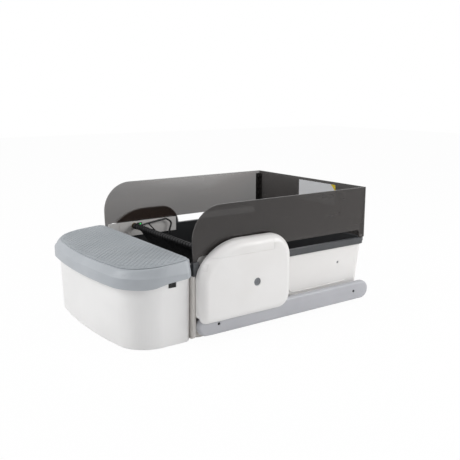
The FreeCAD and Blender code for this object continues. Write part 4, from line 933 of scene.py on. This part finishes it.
def makeBlankPlate():
    # a blank sheet inside the rear panel, with a plain yellow corner
    shape = plateShape
    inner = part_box("fence_rear_panel")[0].y
    right, high, tab = shape["right"], shape["high"], shape["tab"]
    plate = block("blankPlate", (shape["left"], inner - shape["thick"], shape["low"]),
                  (right, inner, high))
    roundCorners(plate, lambda at: at.x > right - shape["near"])
    settle(plate, paperFinish(), "fence")

    face = inner - shape["thick"]
    corner = block("plateCorner", (right - tab, face - shape["thick"] * shape["tabThick"],
                                   high - tab), (right, face, high))
    openWhole(corner)
    bpy.ops.mesh.bisect(plane_co=(right - tab / 2, 0, high - tab / 2), plane_no=(1, 0, 1),
                        use_fill=True, clear_inner=True, clear_outer=False)
    leave()
    roundCorners(corner, lambda at: at.x > right - shape["near"] and at.z > high - shape["near"])
    settle(corner, yellowFinish(), "fence")


makeBin()
makeLid()
makePad()
makeFence()
makePods()
makeRails()
makeSkirtPlates()
makeTubLips()
makeDiscs()
makeScrews()
makeStatusLight()
makeBlankPlate()
print("pieces made")


# camera, light and floor

view = {"place": (1.44576, -0.93897, 0.56829), "azimuth": 54.783, "down": 11.979,
        "lens": 50.963, "sensor": 36.0, "clip": 0.05}


def setCamera():
    turn, down = math.radians(view["azimuth"]), math.radians(view["down"])
    ahead = Vector((-math.sin(turn) * math.cos(down), math.cos(turn) * math.cos(down),
                    -math.sin(down)))
    data = bpy.data.cameras.new("photoCamera")
    data.lens, data.sensor_width = view["lens"], view["sensor"]
    data.clip_start = view["clip"]
    camera = bpy.data.objects.new("photoCamera", data)
    bpy.context.scene.collection.objects.link(camera)
    camera.location = view["place"]
    camera.rotation_euler = ahead.to_track_quat("-Z", "Y").to_euler()
    bpy.context.scene.camera = camera


lamps = {
    "leftBox": {"place": (-0.9, -2.6, 1.7), "size": 1.8, "power": 44.0},
    "rightBox": {"place": (1.5, 1.35, 0.95), "size": 1.0, "power": 19.0},
    "topBox": {"place": (0.0, 0.2, 2.9), "size": 2.2, "power": 20.0},
}


lampAim = Vector((0, 0, 0.12))


def setLamps():
    for name, lamp in lamps.items():
        data = bpy.data.lights.new(name, "AREA")
        data.shape, data.size, data.energy = "SQUARE", lamp["size"], lamp["power"]
        made = bpy.data.objects.new(name, data)
        bpy.context.scene.collection.objects.link(made)
        made.location = lamp["place"]
        aim = lampAim - Vector(lamp["place"])
        made.rotation_euler = aim.to_track_quat("-Z", "Y").to_euler()


def seenDirectly(tree):
    # 1 for the camera, mirrors and glass, 0 for the light that falls on the unit
    path = tree.nodes.new("ShaderNodeLightPath")
    total = path.outputs["Is Camera Ray"]
    for name in ("Is Glossy Ray", "Is Transmission Ray"):
        join = tree.nodes.new("ShaderNodeMath")
        join.operation = "MAXIMUM"
        tree.links.new(total, join.inputs[0])
        tree.links.new(path.outputs[name], join.inputs[1])
        total = join.outputs[0]
    return total


roomLook = {"falling": (0.40, 0.40, 0.41, 1.0), "seen": (1.0, 1.0, 1.0, 1.0)}


def setWorld():
    world = bpy.data.worlds.new("paleRoom")
    world.use_nodes = True
    tree = world.node_tree
    back = tree.nodes["Background"]
    mix = tree.nodes.new("ShaderNodeMix")
    mix.data_type = "RGBA"
    tree.links.new(seenDirectly(tree), mix.inputs[0])
    mix.inputs[6].default_value = roomLook["falling"]
    mix.inputs[7].default_value = roomLook["seen"]
    tree.links.new(mix.outputs[2], back.inputs["Color"])
    bpy.context.scene.world = world


floorLook = {"size": 14.0, "white": 0.97, "colour": (0.9, 0.9, 0.9), "roughness": 0.8}


def setFloor():
    bpy.ops.mesh.primitive_plane_add(size=floorLook["size"], location=(0, 0, 0))
    floor = started("paleFloor")
    finish = Finish("paleFloor")
    finish.put(colour=floorLook["colour"], roughness=floorLook["roughness"])
    glow = finish.add("ShaderNodeEmission", {}, {"Color": (1.0, 1.0, 1.0), "Strength": 1.0})
    seen = Signal(finish, seenDirectly(finish.tree)) * floorLook["white"]
    mix = finish.add("ShaderNodeMixShader", {}, {0: seen, 1: finish.shader.outputs[0],
                                                 2: glow.outputs[0]})
    finish.feed(finish.tree.nodes["Material Output"].inputs["Surface"], mix.outputs[0])
    floor.data.materials.append(finish.material)


setCamera()
setLamps()
setWorld()
setFloor()
bpy.context.scene.view_settings.view_transform = "Standard"
print("camera, light and floor set")
